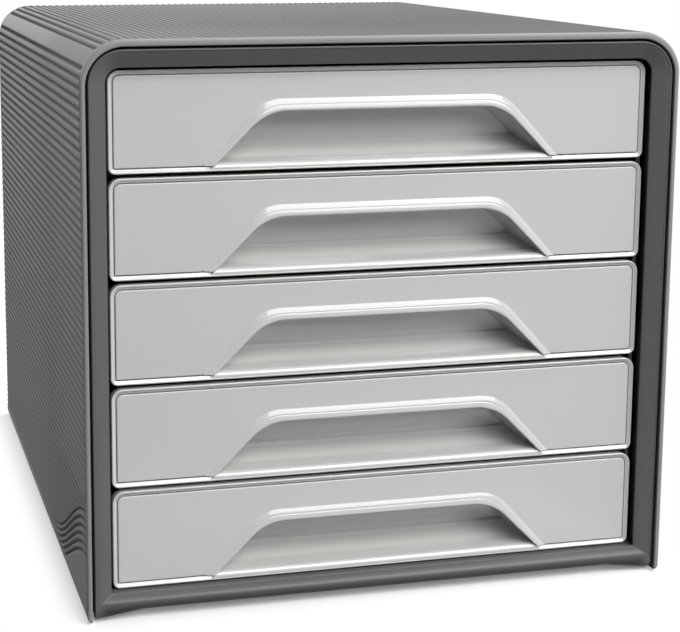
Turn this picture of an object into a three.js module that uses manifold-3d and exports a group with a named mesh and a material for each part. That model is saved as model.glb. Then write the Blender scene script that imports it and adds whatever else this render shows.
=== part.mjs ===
// Desktop file drawer: a ribbed housing with five pull-out drawers that slide on moulded runners.
// Lengths are millimetres. +X is right, +Y is to the back and +Z is up.
// The desk is z = 0, the origin is on it under the middle of the housing, and the drawers face -Y.
import * as THREE from "three";
import { mergeVertices } from "three/addons/utils/BufferGeometryUtils.js";
import Module from "manifold-3d";

const wasm = await Module();
wasm.setup();

// Housing
const housingWidth = 288;
const housingDepth = 360;
const housingHeight = 270;
const drawerCount = 5;

// Cover: one moulding with both sides, the top and a flange turned in under each side
const coverWall = 2.2;
const coverTopRadius = 20;
const coverFootRadius = 5.5;
const coverFlangeWidth = 16;
const coverFlangeSetback = 7;
const coverRimDepth = 4;
const coverRimRounding = 0.7;

// Ribs of the cover: the grooves between them run from the rim to the back. The side's pitch grows upwards
const ribTopPitch = 4.09;
const ribFootPitch = 3.404;
const ribPitchGrowth = 0.0228;
const ribFootHeight = 6.87;
const ribSideCorner = 8;
const ribTopCorner = 14;
const ribGrooveWidth = 2.4;
const ribGrooveFloor = 0.7;
const ribGrooveDepth = 0.8;

// Band of curved grooves low at the front of each side, above a bare corner. Heights are above the foot
const bandReach = 121;
const bandFrontHeight = 52;
const bandRearHeight = 10;
const bandFrontPitch = 4.14;
const bandRearPitch = 3.12;
const bandClearance = 2.4;
const bandGrooves = 6;
const bandSteps = 9;

// Front frame: a bezel inside the cover's mouth
const frameDepth = 14;
const frameGroove = 0.9;
const frameGrooveDepth = 4;
const frameSetback = 0.5;
const frameWall = 2;
const beadWidth = 2;
const beadRounding = 0.7;
const slopeSide = 6.7;
const slopeTop = 7.5;
const slopeDepth = 5.5;
const slopeStart = 1.2;
const railFace = 1.5;
const railRise = 5.8;
const railRounding = 2.6;
const openingCornerRadius = 7;
const openingFootRadius = 1;

// Drawer fronts and the gaps round them
const frontRecess = 8.75;
const frontSideGap = 1.5;
const frontTopGap = 1.55;
const frontGap = 1.9;
const frontTopRadius = 5.5;
const frontFootRadius = 3.2;
const rimWidth = 2.1;
const rimRounding = 0.6;
const pocketDepth = 2.8;
const flangePlate = 1.8;

// Facing: the panel let into each drawer front, with the flared lip over the finger scoop
const facingGap = 0.5;
const facingSetback = 0.5;
const facingRounding = 0.45;
const smallestCorner = 0.5;
const lipRise = 1.35;

// Outlines of the lip: the slanted sides run from the low half width at the drawer's foot to the high one
const lipOuterLowHalf = 88.3;
const lipOuterHighHalf = 58.9;
const lipOuterTop = 32.6;
const lipInnerLowHalf = 85;
const lipInnerHighHalf = 57.5;
const lipInnerTop = 26.8;
const lipCornerRadius = 20;

// Finger scoop: the recess behind the lip
const scoopDepth = 21;
const scoopWall = 1.8;
const scoopShadowGap = 0.6;
const scoopRollRadius = 2.6;
const scoopRollFoot = 1.3;
const scoopRampRise = 1.1;
const scoopRampDepth = 10;
const scoopCreaseHeight = 10.5;
const scoopLedge = 0.7;

// Tray
const trayWall = 1.8;
const trayLift = 1.5;
const trayHeight = 37;
const trayInset = 4.7;
const trayCornerRadius = 4;
const trayRearGap = 4;
const railFlangeWidth = 3.7;
const railFlangeThickness = 1.8;
const stopLength = 10;
const stopHeight = 4;

// Runner panels
const runnerWall = 1.8;
const runnerClearance = 0.8;
const ledgeThickness = 2;
const ledgeOverlap = 3;
const stopBlockLength = 6;
const stopBlockDistance = 45;
const stopBlockHeight = 5;
const slideClearance = 0.3;
const stopClearance = 0.8;

// Base panel, back panel and feet
const baseThickness = 2;
const basePlateRib = 1.4;
const baseRibCount = 4;
const backThickness = 2;
const backSetback = 1.5;
const backFlange = 8;
const footHeight = 1;
const footWidth = 9;
const footLength = 30;
const footInset = 3;

// Fits and drawing
const seatClearance = 0.3;
const overrun = 1;
const arcSteps = 3;
const bevelSteps = 2;
const quarterTurn = Math.PI / 2;

// Places worked out from the sizes
const front = -housingDepth / 2;
const back = housingDepth / 2;
const coverFoot = footHeight;
const coverTopCentre = housingWidth / 2 - coverTopRadius;
const coverTopCentreHeight = housingHeight - coverTopRadius;
const coverTopCorner = quarterTurn * coverTopRadius;
const coverHalfLine = coverTopCentre + coverTopCorner + coverTopCentreHeight - coverFoot;
const coverInner = housingWidth / 2 - coverWall;
const coverInnerTop = housingHeight - coverWall;
const flangeTop = coverFoot + coverWall;
const frameHalf = coverInner - frameGroove;
const frameTop = coverInnerTop - frameGroove;
const frameFoot = flangeTop + frameGroove;
const slopeHalf = frameHalf - beadWidth;
const slopeHigh = frameTop - beadWidth;
const slopeLow = frameFoot + railFace;
const openingHalf = slopeHalf - slopeSide;
const openingTop = slopeHigh - slopeTop;
const openingFoot = slopeLow + railRise;
const frontHalf = openingHalf - frontSideGap;
const frontStack = openingTop - frontTopGap - openingFoot - frontGap;
const frontHeight = (frontStack - (drawerCount - 1) * frontGap) / drawerCount;
const drawerPitch = frontHeight + frontGap;
const frontY = front + frontRecess;
const flangeDepth = pocketDepth + flangePlate;
const trayHalf = frontHalf - trayInset;
const railFlangeHalf = trayHalf + railFlangeWidth;
const trayTop = trayLift + trayHeight;
const trayRear = back - backSetback - backThickness - trayRearGap - frontY;
const runnerInner = railFlangeHalf + runnerClearance;
const ledgeInner = railFlangeHalf - ledgeOverlap;
const runnerFront = front + frameDepth + seatClearance;
const runnerBack = back - backSetback - backThickness - backFlange - seatClearance;
const baseTop = flangeTop + baseThickness;
const baseHalf = housingWidth / 2 - coverFootRadius;

// Turns that lay an outline drawn in a plane into the room
const faceTurn = new THREE.Matrix4().makeBasis(
  new THREE.Vector3(1, 0, 0),
  new THREE.Vector3(0, 0, 1),
  new THREE.Vector3(0, -1, 0),
);
const sideTurn = new THREE.Matrix4().makeBasis(
  new THREE.Vector3(0, 1, 0),
  new THREE.Vector3(0, 0, 1),
  new THREE.Vector3(1, 0, 0),
);

// A closed geometry as a solid that can be joined and cut
function solidOf(geometry) {
  const bare = geometry.index ? geometry.toNonIndexed() : geometry;
  bare.deleteAttribute("normal");
  bare.deleteAttribute("uv");
  const merged = mergeVertices(bare);
  const mesh = new wasm.Mesh({
    numProp: 3,
    vertProperties: merged.attributes.position.array,
    triVerts: new Uint32Array(merged.index.array),
  });
  return new wasm.Manifold(mesh);
}

// A solid as a flat-shaded geometry
function geometryOf(solid) {
  const mesh = solid.getMesh();
  const indexed = new THREE.BufferGeometry();
  indexed.setAttribute("position", new THREE.BufferAttribute(mesh.vertProperties, 3));
  indexed.setIndex(new THREE.BufferAttribute(mesh.triVerts, 1));
  const geometry = indexed.toNonIndexed();
  geometry.computeVertexNormals();
  return geometry;
}

function extruded(shape, length, rounding) {
  return new THREE.ExtrudeGeometry(shape, {
    depth: length - 2 * rounding,
    curveSegments: arcSteps,
    bevelEnabled: rounding > 0,
    bevelThickness: rounding,
    bevelSize: rounding,
    bevelOffset: -rounding,
    bevelSegments: bevelSteps,
  });
}

// An outline in x and z, run from yFront to yBack, with its end edges rounded on request
function alongY(shape, yFront, yBack, rounding = 0) {
  const geometry = extruded(shape, yBack - yFront, rounding);
  geometry.applyMatrix4(faceTurn);
  geometry.translate(0, yBack - rounding, 0);
  return solidOf(geometry);
}

// An outline in y and z, run from xLow to xHigh
function alongX(shape, xLow, xHigh) {
  const geometry = extruded(shape, xHigh - xLow, 0);
  geometry.applyMatrix4(sideTurn);
  geometry.translate(xLow, 0, 0);
  return solidOf(geometry);
}

// An outline in x and y, run from zLow to zHigh
function alongZ(shape, zLow, zHigh) {
  const geometry = extruded(shape, zHigh - zLow, 0);
  geometry.translate(0, 0, zLow);
  return solidOf(geometry);
}

function block(xLow, xHigh, yLow, yHigh, zLow, zHigh) {
  const geometry = new THREE.BoxGeometry(xHigh - xLow, yHigh - yLow, zHigh - zLow);
  geometry.translate((xLow + xHigh) / 2, (yLow + yHigh) / 2, (zLow + zHigh) / 2);
  return solidOf(geometry);
}

// A solid through outlines in x and z with equal numbers of points, each at its own y, front to back
function lofted(sections) {
  const ringOf = ({ shape, y }) => shape.getPoints(arcSteps).map((p) => new THREE.Vector3(p.x, y, p.y));
  const rings = sections.map(ringOf);
  const count = rings[0].length;
  const cap = THREE.ShapeUtils.triangulateShape(sections[0].shape.getPoints(arcSteps), []);
  const index = [];
  const last = (rings.length - 1) * count;
  for (const [a, b, c] of cap) {
    index.push(a, b, c);
    index.push(last + a, last + c, last + b);
  }
  for (let ring = 0; ring < rings.length - 1; ring++) {
    for (let i = 0; i < count; i++) {
      const near = ring * count + i;
      const nearNext = ring * count + ((i + 1) % count);
      index.push(near, near + count, nearNext);
      index.push(nearNext, near + count, nearNext + count);
    }
  }
  const geometry = new THREE.BufferGeometry().setFromPoints(rings.flat());
  geometry.setIndex(index);
  return solidOf(geometry);
}

function roundedRectangle(half, low, high, lowRadius, highRadius) {
  const shape = new THREE.Shape();
  shape.absarc(half - lowRadius, low + lowRadius, lowRadius, -quarterTurn, 0);
  shape.absarc(half - highRadius, high - highRadius, highRadius, 0, quarterTurn);
  shape.absarc(highRadius - half, high - highRadius, highRadius, quarterTurn, 2 * quarterTurn);
  shape.absarc(lowRadius - half, low + lowRadius, lowRadius, 2 * quarterTurn, 3 * quarterTurn);
  return shape;
}

// The scoop's outline, open downwards: slanted sides that round into a level top
function scoopOutline(lowHalf, highHalf, top, radius) {
  const slant = Math.atan2(top, lowHalf - highHalf);
  const centre = highHalf - radius * Math.tan(slant / 2);
  const footHalf = lowHalf + (overrun * (lowHalf - highHalf)) / top;
  const shape = new THREE.Shape();
  shape.moveTo(-footHalf, -overrun);
  shape.lineTo(footHalf, -overrun);
  shape.absarc(centre, top - radius, radius, quarterTurn - slant, quarterTurn);
  shape.absarc(-centre, top - radius, radius, quarterTurn, quarterTurn + slant);
  return shape;
}

// The same outline moved out by a margin on every side
function widenedScoop(margin) {
  const slant = Math.atan2(lipInnerTop, lipInnerLowHalf - lipInnerHighHalf);
  const sideways = margin / Math.sin(slant);
  const atTop = margin * Math.tan(quarterTurn - slant);
  return scoopOutline(
    lipInnerLowHalf + sideways,
    lipInnerHighHalf + sideways - atTop,
    lipInnerTop + margin,
    lipCornerRadius + margin,
  );
}

// Point of the cover's outside at a distance from the middle of the top, moved inwards by a depth
function coverPoint(distance, depth) {
  const turn = THREE.MathUtils.clamp((distance - coverTopCentre) / coverTopRadius, 0, quarterTurn);
  const down = Math.max(distance - coverTopCentre - coverTopCorner, 0);
  const reach = coverTopRadius - depth;
  const x = Math.min(distance, coverTopCentre) + reach * Math.sin(turn);
  return new THREE.Vector2(x, coverTopCentreHeight + reach * Math.cos(turn) - down);
}

// Heights of a side's grooves above the cover's foot, carried on a little way round the top corner
function sideGrooveHeights() {
  const limit = coverTopCentreHeight - coverFoot + ribSideCorner;
  const heights = [];
  let height = ribFootHeight;
  let pitch = ribFootPitch;
  while (height < limit) {
    heights.push(height);
    height += pitch;
    pitch += ribPitchGrowth;
  }
  return heights;
}

// Middles of the long grooves, as distances from the middle of the top
function longGrooves() {
  const middles = [];
  for (let place = ribTopPitch / 2; place < coverTopCentre + ribTopCorner; place += ribTopPitch) {
    middles.push(place);
  }
  for (const height of sideGrooveHeights()) {
    if (height >= bandFrontHeight + bandClearance) {
      middles.push(coverHalfLine - height);
    }
  }
  return middles;
}

// Right half of the cover's outside with its long grooves, from the side up to the middle of the top
function groovedHalf() {
  const middles = longGrooves();
  const stations = middles.flatMap((middle) => [
    [middle - ribGrooveWidth / 2, 0],
    [middle - ribGrooveFloor / 2, ribGrooveDepth],
    [middle + ribGrooveFloor / 2, ribGrooveDepth],
    [middle + ribGrooveWidth / 2, 0],
  ]);
  for (let i = 1; i < 2 * arcSteps; i++) {
    const place = coverTopCentre + (i * coverTopCorner) / (2 * arcSteps);
    const bare = middles.every((middle) => Math.abs(middle - place) > ribGrooveWidth);
    if (bare) {
      stations.push([place, 0]);
    }
  }
  stations.sort((a, b) => b[0] - a[0]);
  return stations.map(([distance, depth]) => coverPoint(distance, depth));
}

function arcPoints(x, z, radius, from, to) {
  return new THREE.EllipseCurve(x, z, radius, radius, from, to, to < from).getPoints(2 * arcSteps);
}

// Section of the cover: outer line from the right flange round to the left one, then back inside the wall
function coverSection(ribbed) {
  const flangeEnd = housingWidth / 2 - coverFlangeWidth;
  const footCentre = housingWidth / 2 - coverFootRadius;
  const footCentreHeight = coverFoot + coverFootRadius;
  const plain = arcPoints(coverTopCentre, coverTopCentreHeight, coverTopRadius, 0, quarterTurn);
  const outer = [
    new THREE.Vector2(flangeEnd, coverFoot),
    ...arcPoints(footCentre, footCentreHeight, coverFootRadius, -quarterTurn, 0),
    ...(ribbed ? groovedHalf() : plain),
  ];
  const inner = [
    new THREE.Vector2(flangeEnd, flangeTop),
    ...arcPoints(footCentre, footCentreHeight, coverFootRadius - coverWall, -quarterTurn, 0),
    ...arcPoints(coverTopCentre, coverTopCentreHeight, coverTopRadius - coverWall, 0, quarterTurn),
  ];
  const mirror = (point) => new THREE.Vector2(-point.x, point.y);
  const across = outer.map(mirror).reverse();
  return new THREE.Shape([...outer, ...across, ...inner.map(mirror), ...inner.reverse()]);
}

// Cutter for a groove in one side: a trapezoid at each middle, front to back
function sideGroove(side, middles) {
  const face = housingWidth / 2;
  const sections = middles.map(({ y, height }) => {
    const middle = coverFoot + height;
    const points = [
      new THREE.Vector2(face - ribGrooveDepth, middle - ribGrooveFloor / 2),
      new THREE.Vector2(face, middle - ribGrooveWidth / 2),
      new THREE.Vector2(face + overrun, middle - ribGrooveWidth / 2),
      new THREE.Vector2(face + overrun, middle + ribGrooveWidth / 2),
      new THREE.Vector2(face, middle + ribGrooveWidth / 2),
      new THREE.Vector2(face - ribGrooveDepth, middle + ribGrooveFloor / 2),
    ];
    const mirrored = points.map((point) => new THREE.Vector2(-point.x, point.y)).reverse();
    return { shape: new THREE.Shape(side > 0 ? points : mirrored), y };
  });
  return lofted(sections);
}

// Height of the band's groove number i at a depth: a smooth step from its front height to its rear one
function bandHeight(i, y) {
  const share = THREE.MathUtils.smoothstep(y, front, front + bandReach);
  const high = bandFrontHeight - i * bandFrontPitch;
  return THREE.MathUtils.lerp(high, bandRearHeight - i * bandRearPitch, share);
}

// Depth at which the band's groove number i has fallen to a height, or else runs level
function bandDepth(i, height) {
  const high = bandFrontHeight - i * bandFrontPitch;
  const fall = high - (bandRearHeight - i * bandRearPitch);
  const share = THREE.MathUtils.clamp((high - height) / fall, 0, 1);
  return front + bandReach * (1 / 2 - Math.sin(Math.asin(1 - 2 * share) / 3));
}

function bandGroove(side, i) {
  const start = front + coverRimDepth - overrun;
  const lowest = coverFootRadius + ribGrooveWidth / 2;
  const end = bandDepth(i, lowest);
  const middles = [];
  for (let k = 0; k <= bandSteps; k++) {
    const y = THREE.MathUtils.lerp(start, end, k / bandSteps);
    middles.push({ y, height: bandHeight(i, y) });
  }
  const rear = bandRearHeight - i * bandRearPitch;
  if (rear > lowest) {
    middles.push({ y: back + overrun, height: rear });
  }
  return sideGroove(side, middles);
}

// Cutters for the low grooves of one side: the band's curved ones, and the straight ones behind and above it
function lowGrooves(side) {
  const grooves = [];
  for (let i = 0; i < bandGrooves; i++) {
    grooves.push(bandGroove(side, i));
  }
  for (const height of sideGrooveHeights()) {
    const free = height - bandClearance;
    if (free > bandRearHeight && free < bandFrontHeight) {
      grooves.push(sideGroove(side, [{ y: bandDepth(0, free), height }, { y: back + overrun, height }]));
    }
  }
  return grooves;
}

function housingCover() {
  let ribs = alongY(coverSection(true), front + coverRimDepth, back);
  for (const groove of [...lowGrooves(-1), ...lowGrooves(1)]) {
    ribs = ribs.subtract(groove);
  }
  const rimBack = front + coverRimDepth + coverRimRounding;
  const rim = alongY(coverSection(false), front, rimBack, coverRimRounding);
  const cutHalf = housingWidth / 2 - coverFootRadius;
  const cutBack = front + coverFlangeSetback;
  const cutFront = front - overrun;
  const flangeCut = block(-cutHalf, cutHalf, cutFront, cutBack, coverFoot - overrun, flangeTop + overrun);
  return ribs.add(rim).subtract(flangeCut);
}

// Outline of the frame, or of what stands inside the cover's wall by a gap
function insideCover(gap, low) {
  const radius = coverTopRadius - coverWall - gap;
  const footRadius = coverFootRadius - coverWall;
  return roundedRectangle(coverInner - gap, low, coverInnerTop - gap, footRadius, radius);
}

function slopeOutline(margin) {
  const radius = coverTopRadius - coverWall - frameGroove - beadWidth;
  const half = slopeHalf + margin;
  return roundedRectangle(half, slopeLow - margin, slopeHigh + margin, openingFootRadius, radius);
}

function openingOutline(margin) {
  const half = openingHalf + margin;
  const low = openingFoot - margin;
  return roundedRectangle(half, low, openingTop + margin, openingFootRadius, openingCornerRadius);
}

// The tapering mouth, grown by a margin to leave a wall behind its slopes
function mouth(margin) {
  return lofted([
    { shape: slopeOutline(margin), y: front - overrun },
    { shape: slopeOutline(margin), y: front + slopeStart + margin },
    { shape: openingOutline(margin), y: front + slopeDepth + margin },
    { shape: openingOutline(margin), y: front + frameDepth + overrun },
  ]);
}

// Rounds the rail's lower front edge under
function railCut() {
  const nose = front + frameSetback;
  const shape = new THREE.Shape();
  shape.moveTo(nose - overrun, frameFoot - overrun);
  shape.lineTo(nose + railRounding, frameFoot - overrun);
  const centreHeight = frameFoot + railRounding;
  shape.absarc(nose + railRounding, centreHeight, railRounding, 3 * quarterTurn, 2 * quarterTurn, true);
  shape.lineTo(nose - overrun, centreHeight);
  return alongX(shape, -slopeHalf, slopeHalf);
}

function frontFrame() {
  const frameBack = front + frameDepth;
  const face = alongY(insideCover(frameGroove, frameFoot), front + frameSetback, frameBack, beadRounding);
  const sleeveFoot = flangeTop + seatClearance;
  const sleeve = alongY(insideCover(seatClearance, sleeveFoot), front + frameGrooveDepth, frameBack);
  const hollow = alongY(
    insideCover(seatClearance + frameWall, sleeveFoot + frameWall),
    front + frameGrooveDepth + frameWall,
    frameBack + overrun,
  );
  const shell = face.add(sleeve).subtract(hollow.subtract(mouth(frameWall)));
  return shell.subtract(mouth(0)).subtract(railCut());
}

function basePanel() {
  const low = front + frameDepth + seatClearance;
  let solid = block(-baseHalf, baseHalf, low, runnerBack, flangeTop, baseTop);
  const ribHalf = housingWidth / 2 - coverFlangeWidth - seatClearance;
  const spacing = (runnerBack - low) / (baseRibCount + 1);
  for (let i = 1; i <= baseRibCount; i++) {
    const ribFront = low + i * spacing - baseThickness / 2;
    const ribBack = ribFront + baseThickness;
    solid = solid.add(block(-ribHalf, ribHalf, ribFront, ribBack, flangeTop - basePlateRib, baseTop));
  }
  return solid;
}

function backPanel() {
  const outer = back - backSetback;
  const inner = outer - backThickness;
  const plate = alongY(insideCover(seatClearance, flangeTop + seatClearance), inner - backFlange, outer);
  const hollow = alongY(
    insideCover(seatClearance + backThickness, flangeTop + seatClearance + backThickness),
    inner - backFlange - overrun,
    inner,
  );
  return plate.subtract(hollow);
}

// Height of a drawer's foot above the desk, counted from the lowest drawer
function drawerFoot(level) {
  return openingFoot + frontGap + level * drawerPitch;
}

// Half the width inside the cover at a height, which falls off round its top corners
function coverInnerHalfAt(z) {
  const radius = coverTopRadius - coverWall;
  const above = Math.max(z - (coverInnerTop - radius), 0);
  return coverInner - radius + Math.sqrt(radius * radius - above * above);
}

// The right runner panel: a wall with a ledge and a stop block for each drawer, and two flanges
function runnerPanel() {
  const top = openingTop + seatClearance;
  const outer = coverInnerHalfAt(top) - seatClearance;
  let solid = block(runnerInner, runnerInner + runnerWall, runnerFront, runnerBack, baseTop, top);
  solid = solid.add(block(runnerInner, baseHalf, runnerFront, runnerBack, baseTop, baseTop + runnerWall));
  solid = solid.add(block(runnerInner, outer, runnerFront, runnerBack, top - runnerWall, top));
  for (let level = 0; level < drawerCount; level++) {
    const flangeHigh = drawerFoot(level) + trayTop;
    const ledgeTop = flangeHigh - railFlangeThickness - slideClearance;
    const blockLow = flangeHigh + stopClearance;
    const blockFront = runnerFront + stopBlockDistance;
    const blockBack = blockFront + stopBlockLength;
    const wall = runnerInner + runnerWall / 2;
    solid = solid.add(block(ledgeInner, wall, runnerFront, runnerBack, ledgeTop - ledgeThickness, ledgeTop));
    solid = solid.add(block(ledgeInner, wall, blockFront, blockBack, blockLow, blockLow + stopBlockHeight));
  }
  return solid;
}

// A rubber pad with round ends under a flange
function foot() {
  const radius = footWidth / 2;
  const straight = footLength / 2 - radius;
  const shape = new THREE.Shape();
  shape.absarc(0, straight, radius, 0, 2 * quarterTurn);
  shape.absarc(0, -straight, radius, 2 * quarterTurn, 4 * quarterTurn);
  return alongZ(shape, -footHeight, 0);
}

// The drawer's own frame: x = 0 in the middle, y = 0 at the face of its rim, z = 0 at its foot.
// Profile of the scoop's floor from the front edge to the back wall, as points in y and z
function scoopFloor() {
  const rollTop = scoopRollFoot + scoopRollRadius;
  return [
    ...arcPoints(scoopRollRadius, scoopRollFoot, scoopRollRadius, 2 * quarterTurn, quarterTurn),
    new THREE.Vector2(scoopRampDepth, rollTop + scoopRampRise),
    new THREE.Vector2(scoopDepth - scoopLedge, scoopCreaseHeight),
    new THREE.Vector2(scoopDepth, scoopCreaseHeight),
  ];
}

// Everything above the scoop's floor and in front of its back wall
function scoopCavity() {
  const floor = scoopFloor();
  const shape = new THREE.Shape([
    new THREE.Vector2(-overrun, scoopRollFoot),
    ...floor,
    new THREE.Vector2(scoopDepth, frontHeight),
    new THREE.Vector2(-overrun, frontHeight),
  ]);
  return alongX(shape, -frontHalf, frontHalf).intersect(
    alongY(widenedScoop(scoopShadowGap), -overrun, scoopDepth + overrun),
  );
}

// The scoop's shell behind the flange plate, and the rolled edge in front of it
function scoopShell() {
  const shape = new THREE.Shape([
    new THREE.Vector2(0, trayLift),
    new THREE.Vector2(scoopRampDepth, trayLift),
    new THREE.Vector2(scoopDepth + scoopWall, scoopCreaseHeight - scoopWall),
    new THREE.Vector2(scoopDepth + scoopWall, frontHeight),
    new THREE.Vector2(0, frontHeight),
  ]);
  const shell = alongX(shape, -frontHalf, frontHalf).intersect(
    alongY(widenedScoop(scoopShadowGap + scoopWall), pocketDepth, scoopDepth + scoopWall + overrun),
  );
  const rollBack = pocketDepth + overrun;
  const roll = block(-frontHalf, frontHalf, 0, rollBack, scoopRollFoot, scoopCreaseHeight).intersect(
    alongY(widenedScoop(-facingGap), 0, rollBack),
  );
  return shell.add(roll);
}

function frontOutline(inset) {
  const topRadius = Math.max(frontTopRadius - inset, smallestCorner);
  const footRadius = Math.max(frontFootRadius - inset, smallestCorner);
  return roundedRectangle(frontHalf - inset, inset, frontHeight - inset, footRadius, topRadius);
}

// Box of the tray in plan, with its rear corners rounded
function trayPlan(inset) {
  const half = trayHalf - inset;
  const rear = trayRear - inset;
  const radius = trayCornerRadius - inset;
  const shape = new THREE.Shape();
  shape.moveTo(-half, flangeDepth - flangePlate);
  shape.lineTo(half, flangeDepth - flangePlate);
  shape.absarc(half - radius, rear - radius, radius, 0, quarterTurn);
  shape.absarc(radius - half, rear - radius, radius, quarterTurn, 2 * quarterTurn);
  return shape;
}

function tray() {
  const rim = alongY(frontOutline(0), 0, flangeDepth, rimRounding);
  const pocket = alongY(frontOutline(rimWidth), -overrun, pocketDepth);
  const box = alongZ(trayPlan(0), trayLift, trayTop);
  const inside = alongZ(trayPlan(trayWall), trayLift + trayWall, trayTop + overrun).subtract(
    block(-frontHalf, frontHalf, -overrun, flangeDepth, 0, frontHeight),
  );
  let solid = box.subtract(inside).add(rim.subtract(pocket));
  for (const side of [-1, 1]) {
    const edges = [side * (trayHalf - trayWall), side * railFlangeHalf].sort((a, b) => a - b);
    const rear = trayRear - trayCornerRadius;
    const flangeFoot = trayTop - railFlangeThickness;
    solid = solid.add(block(...edges, flangeDepth, rear, flangeFoot, trayTop));
    solid = solid.add(block(...edges, rear - stopLength, rear, flangeFoot, trayTop + stopHeight));
  }
  return solid.add(scoopShell()).subtract(scoopCavity());
}

function facing() {
  const panelOutline = frontOutline(rimWidth + facingGap);
  const panel = alongY(panelOutline, facingSetback, pocketDepth, facingRounding);
  const outer = scoopOutline(lipOuterLowHalf, lipOuterHighHalf, lipOuterTop, lipCornerRadius);
  const inner = scoopOutline(lipInnerLowHalf, lipInnerHighHalf, lipInnerTop, lipCornerRadius);
  const lip = lofted([
    { shape: inner, y: facingSetback - lipRise },
    { shape: outer, y: facingSetback + facingRounding },
    { shape: outer, y: pocketDepth },
  ]);
  const hole = alongY(inner, -lipRise - overrun, pocketDepth + overrun);
  const trimmed = lip.intersect(alongY(panelOutline, -lipRise - overrun, pocketDepth));
  return panel.add(trimmed).subtract(hole);
}

// Finishes: warm dark grey satin for the housing, light grey gloss for the drawers, black rubber
function housingFinish() {
  return new THREE.MeshStandardMaterial({ color: 0x6b6a67, roughness: 0.42, metalness: 0.1 });
}

function drawerFinish() {
  return new THREE.MeshStandardMaterial({ color: 0xcbccc9, roughness: 0.18, metalness: 0 });
}

function rubberFinish() {
  return new THREE.MeshStandardMaterial({ color: 0x1c1c1c, roughness: 0.85, metalness: 0 });
}

function piece(name, solid, finish) {
  const mesh = new THREE.Mesh(geometryOf(solid), finish());
  mesh.name = name;
  return mesh;
}

function housing() {
  const group = new THREE.Group();
  const rightRunner = piece("right_runner_panel", runnerPanel(), housingFinish);
  const leftRunner = piece("left_runner_panel", runnerPanel(), housingFinish);
  leftRunner.scale.x = -1;
  group.add(
    piece("housing_cover", housingCover(), housingFinish),
    piece("front_frame", frontFrame(), housingFinish),
    piece("base_panel", basePanel(), housingFinish),
    piece("back_panel", backPanel(), housingFinish),
    rightRunner,
    leftRunner,
  );
  return group;
}

function feet() {
  const group = new THREE.Group();
  const x = baseHalf - footWidth / 2;
  const frontPad = front + coverFlangeSetback + footInset + footLength / 2;
  const rearPad = back - footInset - footLength / 2;
  for (const [end, y] of [["front", frontPad], ["rear", rearPad]]) {
    for (const [side, sign] of [["left", -1], ["right", 1]]) {
      const pad = piece(`foot_${end}_${side}`, foot(), rubberFinish);
      pad.position.set(sign * x, y, footHeight);
      group.add(pad);
    }
  }
  return group;
}

// Drawers are numbered from the top, and each stands in a group at its own height
function drawers() {
  const group = new THREE.Group();
  for (let number = 1; number <= drawerCount; number++) {
    const drawer = new THREE.Group();
    drawer.add(piece(`drawer_${number}_tray`, tray(), drawerFinish));
    drawer.add(piece(`drawer_${number}_facing`, facing(), drawerFinish));
    drawer.position.set(0, frontY, drawerFoot(drawerCount - number));
    group.add(drawer);
  }
  return group;
}

const fileDrawer = new THREE.Group();
fileDrawer.add(housing(), feet(), drawers());

export default fileDrawer;
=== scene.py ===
"""Desktop file drawer, dressed: smooth surfaces, finishes, floor, light and camera.

Sizes are millimetres and are turned into metres where a mesh is made. +X is right, +Y is to
the back, +Z is up, and the drawers face -Y.
"""
import logging
import math
from dataclasses import astuple, dataclass, field
from enum import Enum
from typing import Any, Optional, Sequence, Union

import bpy
import numpy as np
from mathutils import Matrix, Vector


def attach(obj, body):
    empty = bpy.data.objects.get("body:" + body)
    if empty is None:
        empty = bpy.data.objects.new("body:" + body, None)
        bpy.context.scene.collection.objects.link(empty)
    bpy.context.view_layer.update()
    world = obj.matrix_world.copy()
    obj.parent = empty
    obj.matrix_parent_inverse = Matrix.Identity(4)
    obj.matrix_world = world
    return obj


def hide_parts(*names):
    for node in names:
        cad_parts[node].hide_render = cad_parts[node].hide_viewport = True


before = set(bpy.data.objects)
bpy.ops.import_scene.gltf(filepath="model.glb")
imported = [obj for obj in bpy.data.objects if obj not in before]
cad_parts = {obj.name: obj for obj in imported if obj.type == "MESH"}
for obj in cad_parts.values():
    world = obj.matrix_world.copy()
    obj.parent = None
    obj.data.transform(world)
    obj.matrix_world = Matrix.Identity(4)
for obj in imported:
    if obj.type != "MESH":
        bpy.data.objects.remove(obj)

MM = 0.001
TINY = 1e-6
SMALLEST_RADIUS = 0.05
WHITE = (1, 1, 1, 1)
LOG = logging.getLogger("file_drawer")
Number = Union[int, float]
Value = Union["Wire", Number]


# Meshes

class Slot(Enum):
    """Material slots of the record."""

    HOUSING = "housing_grey"
    DRAWER = "drawer_light_grey"
    FACING = "facing_light_grey"
    RUBBER = "rubber_black"


@dataclass
class Shell:
    """One closed surface: its points and its faces.

    Args:
        points: array of points, in millimetres, one row each.
        faces: list of faces, each a list of point numbers.
    """

    points: np.ndarray
    faces: list[list[int]]

    def volume(self) -> float:
        """Signed volume by the divergence theorem: each fan triangle adds a dot (b cross c) over 6.

        Returns:
            Cubic millimetres, above zero where the faces are turned out.
        """
        total = 0.0
        by_length: dict[int, list[list[int]]] = {}
        for face in self.faces:
            by_length.setdefault(len(face), []).append(face)
        for length, group in by_length.items():
            corners = self.points[np.array(group)]
            first = corners[:, 0]
            for k in range(1, length - 1):
                normals = np.cross(corners[:, k], corners[:, k + 1])
                total += float(np.einsum("ij,ij->i", first, normals).sum())
        return total / 6

    def outward(self) -> "Shell":
        """The same shell with its faces turned out."""
        if self.volume() < 0:
            return Shell(self.points, [face[::-1] for face in self.faces])
        return self


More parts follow.
